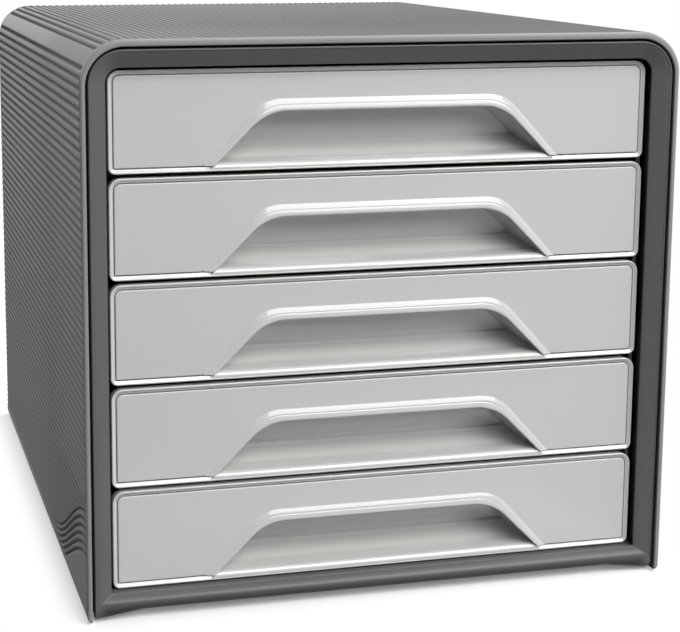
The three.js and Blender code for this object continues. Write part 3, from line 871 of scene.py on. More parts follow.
@dataclass
class FrontFrame:
    """The bezel in the cover's mouth: a bead, slopes that fall in to the drawers, and the bottom rail.

    The rail's lower edge is rounded under, and dips to a small foot beside each lower corner.

    Args:
        inner_half: half the width of the cover's inside.
        inner_top: height of the underside of the cover's top rim.
        corner: radius of the upper corners there.
        foot_corner: radius of the bezel's lower corners.
        foot: height of the rail's lower edge, before it dips.
        sleeve_gap: gap between the cover's inside and the sleeve behind the groove.
        sleeve_drop: how far below the foot the sleeve reaches.
        sleeve_depth: distance behind the front at which the sleeve begins.
        groove: gap between the cover's inside and the bead.
        groove_depth: depth of that groove beside the bead.
        front: place of the bead's face, in y.
        bead: width of the bead.
        bead_turn: angle in degrees through which the bead's inner curve turns.
        rounding: radius of the bead's two curves.
        side: width of the side slopes.
        top: height of the top slope.
        opening_corner: radius of the opening's upper corners.
        rail_front: place of the rail's face, in y.
        rail_nose: radius of the rail's lower edge.
        rail_height: height of the rail's top edge above its foot.
        rail_bulge: power of the rail's curve. Above 1 it bulges.
        rail_step: how far the rail's face goes straight up above its nose.
        ledge_rise: how much higher than the rail's top edge the ledge behind it lies.
        slope_start: distance behind the bead's face at which the slopes start.
        slope_depth: depth from there to the middle of the lip that ends them.
        slope_first: how far down a slope its first ring lies, as a share of its width.
        edge_turn: width of the small lip where a slope turns into the opening.
        edge_depth: half the depth of that lip.
        edge_lengths: distances behind the lip's middle between which the undercut sets in.
        undercut: how far the sides and the top are undercut there.
        back: place of the sleeve's back edge, in y.
        dip: how far the foot dips beside each lower corner.
        dip_from: distance from the middle at which the foot starts to dip.
        dip_to: distance from the middle at which it has dipped in full.
        dip_fade: angle in radians round the bead's inner curve at which the dip would be gone.
        foot_blend: the foot's depth and dip fade out up to this height above the lower corners' circles.
        shade_top: height of the rail's painted shade above its foot, as a share of the rail's height.
        shade_fade: height over which that shade sets in, as such a share.
        shade_margin: how far past dip_to the shade reaches at the two ends.
        shade_end: length over which it fades out there.
    """

    inner_half: float = 141.8
    inner_top: float = 266.6
    corner: float = 17.2
    foot_corner: float = 1.0
    foot: float = 4.1
    sleeve_gap: float = 0.35
    sleeve_drop: float = 0.4
    sleeve_depth: float = 6.3
    groove: float = 1.1
    groove_depth: float = 5.8
    front: float = -179.5
    bead: float = 1.2
    bead_turn: float = 75.0
    rounding: float = 0.6
    side: float = 7.0
    top: float = 6.9
    opening_corner: float = 7.0
    rail_front: float = -178.4
    rail_nose: float = 4.2
    rail_height: float = 8.05
    rail_bulge: float = 1.8
    rail_step: float = 0.3
    ledge_rise: float = 0.45
    slope_start: float = 0.6
    slope_depth: float = 3.9
    slope_first: float = 0.06
    edge_turn: float = 0.3
    edge_depth: float = 0.25
    edge_lengths: tuple[float, float] = (0.9, 1.1)
    undercut: float = 2.3
    back: float = -166.0
    dip: float = 2.9
    dip_from: float = 117.0
    dip_to: float = 138.0
    dip_fade: float = 1.4
    foot_blend: float = 1.5
    shade_top: float = 0.7
    shade_fade: float = 0.6
    shade_margin: float = 1.0
    shade_end: float = 5.0

    def outline(self, side: float, top: float, low: float, radius: float, low_radius: float) -> np.ndarray:
        """The cover's inner outline drawn in, with extra points along its foot.

        Args:
            side: inset at the sides.
            top: inset at the top.
            low: rise of the foot.
            radius: radius of the upper corners.
            low_radius: radius of the lower corners.

        Returns:
            Array (points, 2). The extra points lie close together where the foot dips.
        """
        whole = ring(self.inner_half - side, self.foot + low, self.inner_top - top, low_radius, radius,
                     steps=14)
        reach = self.inner_half - side - low_radius
        # Places of the extra points between the middle and a lower corner, as shares of the way
        half = np.concatenate([[0.998, 0.994], np.linspace(0.988, 0.83, 18), [0.7, 0.4]])
        share = np.concatenate([-half, [0.0], half[::-1]])
        return np.concatenate([whole, np.stack([share * reach, np.full(len(share), self.foot + low)], -1)])

    def row(self, side: float, top: float, low: float, y: float, y_low: float, radius: float,
            low_radius: float, dip: float = 0.0) -> np.ndarray:
        """One ring of the surface.

        Args:
            side: inset at the sides.
            top: inset at the top.
            low: rise of the foot.
            y: depth of the sides and the top.
            y_low: depth of the foot. The lower corners blend from one to the other.
            radius: radius of the upper corners.
            low_radius: radius of the lower corners.
            dip: share of the foot's dip.

        Returns:
            Array of points in space.
        """
        line = self.outline(side, top, low, radius, low_radius)
        near = smooth_step(1 - (line[:, 1] - self.foot - low) / (low_radius + self.foot_blend))
        across = np.abs(line[:, 0])
        fall = np.clip((across - self.dip_from) / (self.dip_to - self.dip_from), 0, 1)
        line[:, 1] -= self.dip * dip * fall * near
        return at_depth(line, y + (y_low - y) * near)

    def shell(self) -> Shell:
        """Rings from the sleeve's back edge over the bead and down the slopes to the opening, and back.

        The bead's section is a quarter circle and most of another, and the rail's lower edge is a
        larger one. The slope's rings move from the bead's edge to the opening in equal steps, the
        rail's bulging a little. They turn over a small lip, and behind it the sides and the top are
        undercut, while a level ledge lies behind the rail's top.

        Returns:
            The closed shell.
        """
        g, b, r, nose = self.groove, self.bead, self.rounding, self.rail_nose
        gap, outer, foot_corner = self.sleeve_gap, self.corner, self.foot_corner
        rows = []
        below = -self.sleeve_drop
        sleeve = ((gap, below, self.back), (gap, below, self.front + self.sleeve_depth),
                  (g, 0, self.front + self.groove_depth))
        for inset, low, y in sleeve:
            rows.append(self.row(inset, inset, low, y, y, outer - inset, foot_corner))
        for a in np.radians(np.linspace(0, 90, 9)):
            inset = r * (1 - math.cos(a))
            rows.append(self.row(
                g + inset, g + inset, nose * (1 - math.cos(a)), self.front + r * (1 - math.sin(a)),
                self.rail_front + nose * (1 - math.sin(a)), outer - g - inset, foot_corner, 1))
        for a in np.radians(np.linspace(0, self.bead_turn, 5)):
            inset = b - r + r * math.sin(a)
            rows.append(self.row(
                g + inset, g + inset, nose + self.rail_step * math.sin(a), self.front + r * (1 - math.cos(a)),
                self.rail_front, outer - g - inset, foot_corner, 1 - a / self.dip_fade))
        start = self.front + self.slope_start
        end = start + self.slope_depth
        low = nose + self.rail_step
        rest = 1 - self.slope_first
        for t in np.linspace(0, 1, 9):
            share = self.slope_first + rest * t
            rows.append(self.row(
                g + b + self.side * share, g + b + self.top * share, low + (self.rail_height - low) * share,
                start + self.slope_depth * rest * t,
                self.rail_front + (end - self.edge_depth - self.rail_front) * share ** self.rail_bulge,
                (outer - g - b) * (1 - t) + self.opening_corner * t, foot_corner))
        side, top, turn = g + b + self.side, g + b + self.top, self.edge_turn
        low, cut, corner = self.rail_height, self.undercut, self.opening_corner
        for a in np.radians((0, 30, 60, 90)):
            y = end - self.edge_depth + 2 * self.edge_depth * (1 - math.cos(a))
            s = math.sin(a)
            rise = self.ledge_rise * s
            rows.append(self.row(side + turn * s, top + turn * s, low + rise, y, y, corner, foot_corner))
        low += self.ledge_rise
        lip_end, cut_start = (end + length for length in self.edge_lengths)
        for y, drop in ((lip_end, 0), (cut_start, cut), (self.back, cut)):
            rows.append(self.row(side + turn - drop, top + turn - drop, low, y, y, corner + drop,
                                 foot_corner))
        return tube(np.stack(rows), True)

    def rail_painted_shade(self, points: np.ndarray) -> np.ndarray:
        """Painted shade for each point under the rail's round nose, where little light gets in.

        Args:
            points: array (points, 3).

        Returns:
            A smooth step in height down the rail towards its foot, faded out at the two ends.
        """
        top = self.foot + self.shade_top * self.rail_height
        low = smooth_step((top - points[:, 2]) / (self.shade_fade * self.rail_height))
        beside = self.dip_to + self.shade_margin - np.abs(points[:, 0])
        return low * smooth_step(beside / self.shade_end)

    def build(self) -> None:
        """Makes the bezel and puts it in the CAD frame's place."""
        whole = self.shell().outward()
        make_piece("front_frame_bezel", whole, "housing", BEZEL_SATIN,
                   ["front_frame"], 40, self.rail_painted_shade(whole.points))


@dataclass
class FootPads:
    """The four rubber pads under the flanges: straight sides, round ends, a soft lower edge.

    Args:
        half_width: half a pad's width.
        half_length: half its length.
        x: distance of the pads' middles from the object's middle.
        front: place of the front pads' middles, in y.
        rear: the same for the rear pads.
        edge: heights of the section's rows, each with its inset.
    """

    half_width: float = 4.5
    half_length: float = 15.0
    x: float = 134.0
    front: float = -155.0
    rear: float = 162.0
    edge: tuple[tuple[float, float], ...] = ((1.0, 0), (0.35, 0), (0.1, 0.12), (0, 0.4))

    def shell(self, x: float, y: float) -> Shell:
        """Rings of the plan outline from the top to the foot, drawn in along the edge.

        Args:
            x: place of the pad's middle.
            y: depth of the pad's middle.

        Returns:
            The closed shell.
        """
        rows = []
        for z, inset in self.edge:
            radius = self.half_width - inset - SMALLEST_RADIUS
            plan = ring(self.half_width - inset, inset - self.half_length, self.half_length - inset,
                        radius, radius, 8)
            rows.append(at_height(plan + [x, y], z))
        return tube(np.stack(rows))

    def build(self) -> None:
        """Makes the four pads."""
        for end, y in (("front", self.front), ("rear", self.rear)):
            for side, sign in (("left", -1), ("right", 1)):
                make_piece(f"foot_pad_{end}_{side}", self.shell(sign * self.x, y).outward(), "housing",
                           PAD_RUBBER, [f"foot_{end}_{side}"])


# A drawer. Its own frame has x = 0 in the middle, y = 0 at the rim's face and z = 0 at its foot.

# Segments of half an arch-shaped line: its slanted side, its round corner, and the whole level top
SIDE_STEPS = 10
CORNER_STEPS = 18
LEVEL_STEPS = 12


def mirrored(right: np.ndarray, top_half: float, top: float) -> np.ndarray:
    """An arch-shaped line from the left foot over the top to the right foot.

    Args:
        right: points of its right half, from the foot up to the level top.
        top_half: half the length of the level top.
        top: height of the level top.

    Returns:
        Array of points in x and z: the left half, the top in equal steps, and the right half.
    """
    share = np.linspace(1, -1, LEVEL_STEPS + 1)[1:-1]
    level = np.stack([share * top_half, np.full(len(share), top)], -1)
    return np.concatenate([right, level, right[::-1] * [-1, 1]])[::-1]


@dataclass(frozen=True)
class Arch:
    """A scoop-shaped line: slanted sides that round into a level top, open at the foot.

    Args:
        low_half: half its width at the foot.
        high_half: half its width at the top, where the sides would meet it in sharp corners.
        top: height of the level top.
        radius: radius of the round corners.
    """

    low_half: float
    high_half: float
    top: float
    radius: float

    def slant(self) -> float:
        """Angle of the sides from the level, in radians."""
        return math.atan2(self.top, self.low_half - self.high_half)

    def centre(self) -> float:
        """Where the right corner's circle has its centre, in x."""
        return self.high_half - self.radius * math.tan(self.slant() / 2)

    def line(self, foot: float) -> np.ndarray:
        """Points from the left foot over the top to the right foot.

        Args:
            foot: height at which the line starts.

        Returns:
            Array of points in x and z: straight, circle, straight, circle, straight.
        """
        centre = self.centre()
        start = np.array([self.low_half - (self.low_half - self.high_half) * foot / self.top, foot])
        bend = arc(centre, self.top - self.radius, self.radius, 90 - math.degrees(self.slant()), 90,
                   CORNER_STEPS)
        t = np.linspace(0, 1, SIDE_STEPS + 1)[:-1, None]
        right = np.concatenate([start * (1 - t) + bend[0] * t, bend])
        return mirrored(right, centre, self.top)

    def widened(self, margin: float) -> "Arch":
        """The same line moved out on every side.

        Args:
            margin: how far, at right angles to the line.

        Returns:
            The wider arch. Below zero, the margin makes it narrower.
        """
        sideways = margin / math.sin(self.slant())
        at_top = margin / math.tan(self.slant())
        return Arch(self.low_half + sideways, self.high_half + sideways - at_top, self.top + margin,
                    self.radius + margin)

    def drawn_in(self, sides: float, top: float) -> "Arch":
        """The same line with its sides and its top moved in by different amounts."""
        return Arch(self.low_half - sides, self.high_half - sides, self.top - top, self.radius)

    def blended(self, other: "Arch", share: float) -> "Arch":
        """The line at a share of the way from this one to another."""
        return Arch(*(p * (1 - share) + q * share for p, q in zip(astuple(self), astuple(other))))

    def half_at(self, z: np.ndarray) -> np.ndarray:
        """Half the width at a height, on the slanted side or in the round corner above it.

        Args:
            z: heights above the drawer's foot.

        Returns:
            The half widths: linear on the side, centre plus the root of r^2 - rise^2 in the corner.
        """
        bend_foot = self.top - self.radius + self.radius * math.cos(self.slant())
        straight = self.low_half - (self.low_half - self.high_half) * z / self.top
        rise = np.clip(z - (self.top - self.radius), 0, self.radius)
        round_part = self.centre() + np.sqrt(np.maximum(self.radius ** 2 - rise ** 2, 0))
        return np.where(z < bend_foot, straight, round_part)


@dataclass
class Drawer:
    """One drawer: the tray with its front rim and finger scoop, and the glossy facing with its lip.

    Args:
        number: its number, counted from the top.
        foot: height of its foot above the desk.
        half: half the width of its front.
        height: height of its front.
        front: place of the rim's face, in y.
        top_radius: radius of the front's upper corners.
        foot_radius: radius of its lower corners.
        rim: width of the rim round the facing.
        rim_rounding: radius of the rim's outer edge.
        rim_fall: how far the rim's bevel falls on its way in.
        mouth: size of the chamfer where the bevel meets the pocket.
        pocket: depth of the pocket that holds the facing.
        ledge: width of the ledge behind the facing's edge.
        plate: depth of the plate's back.
        plate_inset: how much further in than the rim the plate's edge lies. It overlaps the ledge.
        seat: gap between the facing and the pocket's bottom, and between that and the plate.
        gap: gap between the rim and the facing's edge.
        face: depth of the facing's flat face.
        face_edge: radius of its edge.
        lip_back: depth of the row behind the lip's inner edge.
        lip_margin: width over which the lip's outer edge runs into the face.
        lip_foot_share: share of the lip's height that is left at its two feet.
        lip_relief: factor on the lip's height over the face.
        lip_profile: share of the way across the lip, and depth there. It has two rolls.
        outer_lip: the lip's outer line.
        inner_lip: its inner line, round the scoop.
        scoop_gap: gap between the facing's lip and the tray's scoop.
        scoop_depth: depth of the scoop's back wall.
        scoop_wall: thickness of the scoop's shell.
        scoop_front: depth of its mouth.
        scoop_ends: depths of the scoop's rows from its back wall to the bead along the crease.
        scoop_rows: depths of its rows from there to its mouth.
        draft: how far the scoop's sides and its top draw in for each millimetre of depth.
        back_inset: how far the edge of the scoop's back wall is drawn in.
        floor_points: points across the scoop's level floor, both ends counted.
        least_radius: smallest radius of the border's corners.
        border_start: how far inside the outer lip's foot the border's line starts.
        crease: height of the crease in which the scoop's ramp ends.
        crease_back: how far in front of the back wall the crease lies.
        bead: height of the bead along the crease.
        bead_place: how far in front of the crease its middle lies.
        bead_half: half its width.
        roll: radius of the rolled front edge.
        roll_foot: height of the middle of its curve.
        ramp_rise: rise of the gentle part of the ramp.
        ramp_depth: depth at which the steeper part starts.
        tray_half: half the width of the tray behind the front.
        tray_lift: height of its underside above the drawer's foot.
        tray_top: height of its walls' top above the drawer's foot.
        tray_rear: depth of its back.
        tray_wall: thickness of its walls.
        tray_corner: radius of its two rear corners.
        tray_chamfer: width of the chamfers along its top edge.
        rail: how far a slide rail stands out from it.
        rail_thickness: thickness of the rail.
        stop_length: length of the stop at the rail's rear end.
        stop_height: how far the stop stands up over the rail.
    """

    number: int
    foot: float
    half: float = 130.7
    height: float = 46.99
    front: float = -171.25
    top_radius: float = 5.5
    foot_radius: float = 3.2
    rim: float = 2.1
    rim_rounding: float = 0.5
    rim_fall: float = 0.75
    mouth: float = 0.15
    pocket: float = 2.8
    ledge: float = 0.8
    plate: float = 4.6
    plate_inset: float = 0.3
    seat: float = 0.05
    gap: float = 0.5
    face: float = 0.5
    face_edge: float = 0.4
    lip_back: float = 0.6
    lip_margin: float = 0.4
    lip_foot_share: float = 0.75
    lip_relief: float = 1.2
    lip_profile: tuple[tuple[float, float], ...] = (
        (0.0, -0.10), (0.02, -0.45), (0.05, -0.68), (0.10, -0.82), (0.16, -0.86), (0.25, -0.80),
        (0.36, -0.68), (0.45, -0.56), (0.49, -0.47), (0.515, -0.38), (0.54, -0.37), (0.57, -0.37),
        (0.65, -0.26), (0.76, -0.05), (0.87, 0.20), (0.95, 0.40), (1.0, 0.48))
    outer_lip: Arch = Arch(88.3, 58.9, 32.6, 20.0)
    inner_lip: Arch = Arch(84.2, 57.2, 26.8, 24.0)
    scoop_gap: float = 0.6
    scoop_depth: float = 21.0
    scoop_wall: float = 1.8
    scoop_front: float = 3.0
    scoop_ends: tuple[float, ...] = (21.0, 20.7, 20.1, 19.9, 19.7, 19.5, 19.3, 19.1, 18.9, 18.6)
    scoop_rows: tuple[float, ...] = (18, 16, 14, 12, 10.8, 10.0, 9.2, 8, 6, 4, 3.0)
    draft: tuple[float, float] = (0.16, 0.04)
    back_inset: float = 0.5
    floor_points: int = 12
    least_radius: float = 0.3
    border_start: float = 1.2
    crease: float = 10.5
    crease_back: float = 0.9
    bead: float = 0.6
    bead_place: float = 0.8
    bead_half: float = 0.7
    roll: float = 2.6
    roll_foot: float = 1.3
    ramp_rise: float = 1.1
    ramp_depth: float = 10.0
    tray_half: float = 126.0
    tray_lift: float = 1.5
    tray_top: float = 38.5
    tray_rear: float = 343.75
    tray_wall: float = 1.8
    tray_corner: float = 4.0
    tray_chamfer: float = 0.4
    rail: float = 3.7
    rail_thickness: float = 1.8
    stop_length: float = 10.0
    stop_height: float = 4.0

    def placed(self, shells: Sequence[Shell]) -> Shell:
        """The shells joined, and moved from the drawer's own frame to its place."""
        whole = join(shells)
        return Shell(whole.points + [0, self.front, self.foot], whole.faces)

    def border(self, inset: float) -> np.ndarray:
        """The front's closed outline drawn in by an inset."""
        return ring(self.half - inset, inset, self.height - inset, self.foot_radius - inset,
                    self.top_radius - inset, 8)

    def rim_shell(self) -> Shell:
        """Rings round the front: up the outside, over the rounded edge, in along the bevel, into the pocket.

        The edge is a quarter circle. The bevel falls by rim_fall on its way to the pocket, and its depth
        follows a smooth step, so that it meets the edge and the pocket's mouth without a crease.

        Returns:
            The closed shell.
        """
        r, fall, mouth = self.rim_rounding, self.rim_fall, self.mouth
        rows = [(0.0, self.plate), (0.0, r + 0.5)]
        rows += [(r * (1 - math.cos(a)), r * (1 - math.sin(a))) for a in np.radians(np.linspace(0, 90, 7))]
        rows += [(r + (self.rim - mouth - r) * t, fall * float(smooth_step(np.array(t))))
                 for t in np.linspace(0, 1, 9)[1:]]
        rows += [(self.rim, fall + mouth), (self.rim, self.pocket), (self.rim + self.ledge, self.pocket),
                 (self.rim + self.ledge, self.plate)]
        return tube(np.stack([at_depth(self.border(inset), y) for inset, y in rows]), True)

    def plate_shell(self) -> Shell:
        """The plate behind the facing: an arch-shaped strip from the scoop's mouth out to the rim.

        Returns:
            The closed shell. Its section is a rectangle.
        """
        inner = self.inner_lip.widened(self.scoop_gap)
        edge, near = self.rim + self.plate_inset, self.pocket + self.seat
        return self.strip([(inner, self.plate), (inner, near), (edge, near), (edge, self.plate)],
                          self.scoop_gap)

    def facing_shell(self) -> Shell:
        """The facing as an arch-shaped strip.

        Across the strip the rows run from the scoop's edge over the lip's two rolls, down to the flat
        face, out to the rounded border and round the back. Between the lip's inner and outer lines a
        row lies at share u of the way, and its height is the lip's profile at u.

        Returns:
            The closed shell.
        """
        b, face, rear = self.face_edge, self.face, self.pocket - self.seat
        edge = self.rim + self.gap
        rows = [(self.inner_lip, rear), (self.inner_lip, self.lip_back)]
        rows += [(self.inner_lip.blended(self.outer_lip, u), y) for u, y in self.smooth_profile()]
        rows += [(self.outer_lip.widened(self.lip_margin), face), (edge + b + 0.5, face), (edge + b, face)]
        rows += [(edge + b - b * math.sin(a), face + b * (1 - math.cos(a)))
                 for a in np.radians((22, 45, 67, 90))]
        rows += [(edge, rear)]
        return self.strip(rows, edge)

    def smooth_profile(self, steps: int = 3) -> list[tuple[float, float]]:
        """The lip's profile, smoothed.

        Args:
            steps: points made from each pair of the profile.

        Returns:
            Points on the Catmull-Rom cubic through the profile's points.
        """
        p = np.array(self.lip_profile)
        p = np.concatenate([[2 * p[0] - p[1]], p, [2 * p[-1] - p[-2]]])
        t = (np.arange(steps) / steps)[:, None, None]
        a, b, c, d = p[:-3], p[1:-2], p[2:-1], p[3:]
        curve = 0.5 * (2 * b + (c - a) * t + (2 * a - 5 * b + 4 * c - d) * t ** 2
                       + (3 * b - a - 3 * c + d) * t ** 3)
        points = curve.transpose(1, 0, 2).reshape(-1, 2)
        return [(float(u), float(y)) for u, y in points] + [self.lip_profile[-1]]

    def strip(self, rows: Sequence[tuple[Union[Arch, float], float]], foot: float) -> Shell:
        """A closed arch-shaped strip from left foot to right foot.

        Args:
            rows: for each row round the strip's section, an arch, or a number for the front's border
                drawn in by it, and the depth.
            foot: height of the two cut feet.

        Returns:
            The closed shell: the rows as lines with matching points, looped round the section, and the
            two feet closed by flat faces. What stands out over the face is higher at the lip's top
            than at its feet, by a smooth step in height.
        """
        lines = []
        for edge, y in rows:
            line = edge.line(foot) if isinstance(edge, Arch) else self.border_line(edge, foot)
            up = smooth_step(line[:, 1] / self.inner_lip.top)
            rise = self.lip_foot_share + (1 - self.lip_foot_share) * up
            raised = self.face - self.lip_relief * (self.face - y) * rise
            lines.append(at_depth(line, np.where(y < self.face, raised, y)))
        return tube(np.stack(lines, 1))

    def border_line(self, inset: float, foot: float) -> np.ndarray:
        """The border as a line with as many points as an arch has: foot to corner, up, over and down.

        The left half has three parts that match the arch's slanted side, round corner and half top. The
        first runs along the foot from the lip's own foot to the border's corner, the second up the side
        and round the top corner, and the third along the top.

        Args:
            inset: how far the border is drawn in.
            foot: height of the line's feet.

        Returns:
            Array of points in x and z, from the left foot to the right one.
        """
        half, low, high = self.half - inset, max(inset, foot), self.height - inset
        radius = max(self.top_radius - inset, self.least_radius)
        low_radius = max(self.foot_radius - inset, self.least_radius)
        low_chords, high_chords = 5, 9
        low_arc = arc(half - low_radius, low + low_radius, low_radius, -90, 0, low_chords)
        high_arc = arc(half - radius, high - radius, radius, 0, 90, high_chords)
        start = np.array([self.outer_lip.low_half - self.border_start, low])
        t = np.linspace(0, 1, SIDE_STEPS + 1 - low_chords)[:-1, None]
        u = np.linspace(0, 1, CORNER_STEPS + 1 - high_chords)[1:-1, None]
        run = start * (1 - t) + low_arc[0] * t
        climb = low_arc[-1] * (1 - u) + high_arc[0] * u
        return mirrored(np.concatenate([run, low_arc, climb, high_arc]), half - radius, high)

    def floor_height(self, y: np.ndarray) -> np.ndarray:
        """Height of the scoop's floor.

        Args:
            y: depths behind the rim's face.

        Returns:
            Heights: a quarter circle, a gentle ramp, then a steeper one up to the crease, which has a
            bead with the section of a raised cosine.
        """
        top = self.roll_foot + self.roll
        back = self.roll - np.clip(y, 0, self.roll)
        over = np.sqrt(np.maximum(self.roll ** 2 - back ** 2, 0)) + self.roll_foot
        ramp = top + self.ramp_rise * (y - self.roll) / (self.ramp_depth - self.roll)
        end = self.scoop_depth - self.crease_back
        climb = self.crease - top - self.ramp_rise
        rise = top + self.ramp_rise + climb * (y - self.ramp_depth) / (end - self.ramp_depth)
        off = np.clip((y - end + self.bead_place) / self.bead_half, -1, 1)
        rise = np.minimum(rise, self.crease) + self.bead * (1 + np.cos(np.pi * off)) / 2
        return np.where(y < self.roll, over, np.where(y < self.ramp_depth, ramp, rise))

    def mouth_ring(self, arch: Arch, floor: float, y: float) -> np.ndarray:
        """The scoop's section at a depth.

        Args:
            arch: its sides and top.
            floor: height of its floor.
            y: the depth.

        Returns:
            The closed ring in space: the arch above the floor, and the level floor.
        """
        half = float(arch.half_at(np.array(floor)))
        x = np.linspace(1, -1, self.floor_points)[1:-1] * half
        level = np.stack([x, np.full(len(x), floor)], -1)
        return at_depth(np.concatenate([arch.line(floor), level]), y)

    def scoop_shell(self) -> Shell:
        """The recess: rings of its section from the back wall to the mouth, then the shell's outside.

        The inside narrows a little towards the back wall, as a moulded recess does to leave its mould.

        Returns:
            The closed shell.
        """
        inner, w = self.inner_lip.widened(self.scoop_gap), self.scoop_wall
        back, low = self.scoop_depth + w, self.crease - w
        rows = []
        for y in self.scoop_ends + self.scoop_rows:
            deep = y - self.scoop_front
            arch = inner.drawn_in(self.draft[0] * deep, self.draft[1] * deep)
            arch = arch.widened(-self.back_inset if y == self.scoop_depth else 0)
            rows.append(self.mouth_ring(arch, float(self.floor_height(np.array(y))), y))
        outer = self.inner_lip.widened(self.scoop_gap + w)
        # Depth, floor height and widening of the outside's rings, from the mouth to the back
        for y, floor, margin in ((self.scoop_front, 1.9, 0), (self.ramp_depth, 2.6, 0),
                                 (back - 0.6, low, -0.3), (back, low + 0.4, -0.3)):
            rows.append(self.mouth_ring(outer.widened(margin), floor, y))
        return tube(np.stack(rows))

    def roll_shell(self) -> Shell:
        """The rolled front edge.

        Returns:
            The closed shell: its section in y and z carried from one lip foot to the other, each
            point's x being a share of the scoop's half width at its height.
        """
        top = self.roll_foot + self.roll
        section = arc(self.roll, self.roll_foot, self.roll, 180, 90, 12)
        # Depth and height of the corners behind the roll: from the ramp's start down and to the chin
        section = np.concatenate([section, [[4.2, top + 0.22], [4.2, 1.6], [0.6, 0.35], [0.12, 0.7]]])
        half = self.inner_lip.widened(self.scoop_gap / 2).half_at(section[:, 1])
        return tube(np.stack([np.stack([share * half, section[:, 0], section[:, 1]], -1)
                              for share in np.linspace(-1, 1, 9)]))

    def box_shells(self) -> list[Shell]:
        """The tray behind the front.

        Returns:
            Its three walls as one strip round the back, its floor, two slide rails and two stops.
        """
        h, w, c = self.tray_half, self.tray_wall, self.tray_corner
        low, high, cut = self.tray_lift, self.tray_top, self.tray_chamfer
        y0, y1 = self.pocket + 0.2, self.tray_rear

        def path(inset: float) -> np.ndarray:
            """The plan line from the front left round the back to the front right.

            Args:
                inset: how far it is drawn in.

            Returns:
                Array of points in x and y, with a quarter circle at each rear corner.
            """
            left = arc(c - h, y1 - c, c - inset, 180, 90, 8)
            right = arc(h - c, y1 - c, c - inset, 90, 0, 8)
            start = np.array([[inset - h, y0]])
            return np.concatenate([start, left, right, start * [-1, 1]])

        # Inset and height round a wall's section: the soft lower edge, then the chamfered top
        section = [(0, low + 0.8), (0.25, low + 0.25), (0.8, low), (w, low + 0.2),
                   (w, high - cut), (w - cut, high), (cut, high), (0, high - cut)]
        walls = tube(np.stack([at_height(path(inset), z) for inset, z in section], 1))
        middle = w / 2
        floor = tube(np.stack([
            at_height(ring(h - middle - e, y0 + e, y1 - middle - e, 0.3, c - middle, 6), z)
            for z, e in ((low + 0.1, 0.4), (low + w, 0.0))]))
        shells = [walls, floor]
        rail_low = high - self.rail_thickness
        rear = y1 - c
        for side in (-1, 1):
            x0, x1 = sorted((side * (h - w), side * (h + self.rail)))
            shells.append(rounded_block((x0, self.plate, rail_low), (x1, rear, high), 0.45))
            shells.append(rounded_block((x0, rear - self.stop_length, rail_low + 0.1),
                                        (x1, rear - 0.05, high + self.stop_height), 0.7))
        return shells

    def build(self) -> None:
        """Makes the tray and the facing."""
        body = f"drawer_{self.number}"
        tray = self.placed([self.rim_shell(), self.plate_shell(), self.scoop_shell(), self.roll_shell(),
                            *self.box_shells()])
        make_piece(f"{body}_tray_body", tray, body, DRAWER_GLOSS, [f"{body}_tray"], 38)
        facing = self.placed([self.facing_shell()])
        make_piece(f"{body}_facing_panel", facing, body, FACING_GLOSS, [f"{body}_facing"], 50)


@dataclass
class DrawerStack:
    """The five drawers, numbered from the top.

    Args:
        count: number of drawers.
        lowest: height of the lowest drawer's foot.
        pitch: distance from one drawer's foot to the next one's.
    """

    count: int = 5
    lowest: float = 13.3
    pitch: float = 48.89

    def build(self) -> None:
        """Makes each drawer at its own height."""
        for number in range(1, self.count + 1):
            Drawer(number, self.lowest + (self.count - number) * self.pitch).build()


@dataclass
class InnerHousing:
    """The base, back and runner panels, which keep their CAD shapes and get a finish.

    Args:
        nodes: names of their CAD nodes.
    """

    nodes: tuple[str, ...] = ("base_panel", "back_panel", "right_runner_panel", "left_runner_panel")

    def build(self) -> None:
        """Gives each node its finish."""
        for name in self.nodes:
            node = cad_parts[name]
            node.data.materials.clear()
            node.data.materials.append(INNER_SATIN.material())
            LOG.info("%s: CAD shape, finish %s", name, INNER_SATIN.name)


# Floor, light and camera

@dataclass(frozen=True)
class SoftBox:
    """A rectangular soft lamp.

    Args:
        name: name of the lamp.
        place: where it stands, in metres.
        aim: the point it faces, in metres.
        size: its width and height in metres.
        power: its power in watts.
    """

    name: str
    place: tuple[float, float, float]
    aim: tuple[float, float, float]
    size: tuple[float, float]
    power: float

    def build(self) -> None:
        """Makes the lamp and turns it to its aim."""
        light = bpy.data.lights.new(self.name, "AREA")
        light.shape = "RECTANGLE"
        light.size, light.size_y = self.size
        light.energy = self.power
        lamp = add_object(self.name, light)
        lamp.location = self.place
        lamp.rotation_euler = (Vector(self.aim) - Vector(self.place)).to_track_quat("-Z", "Y").to_euler()


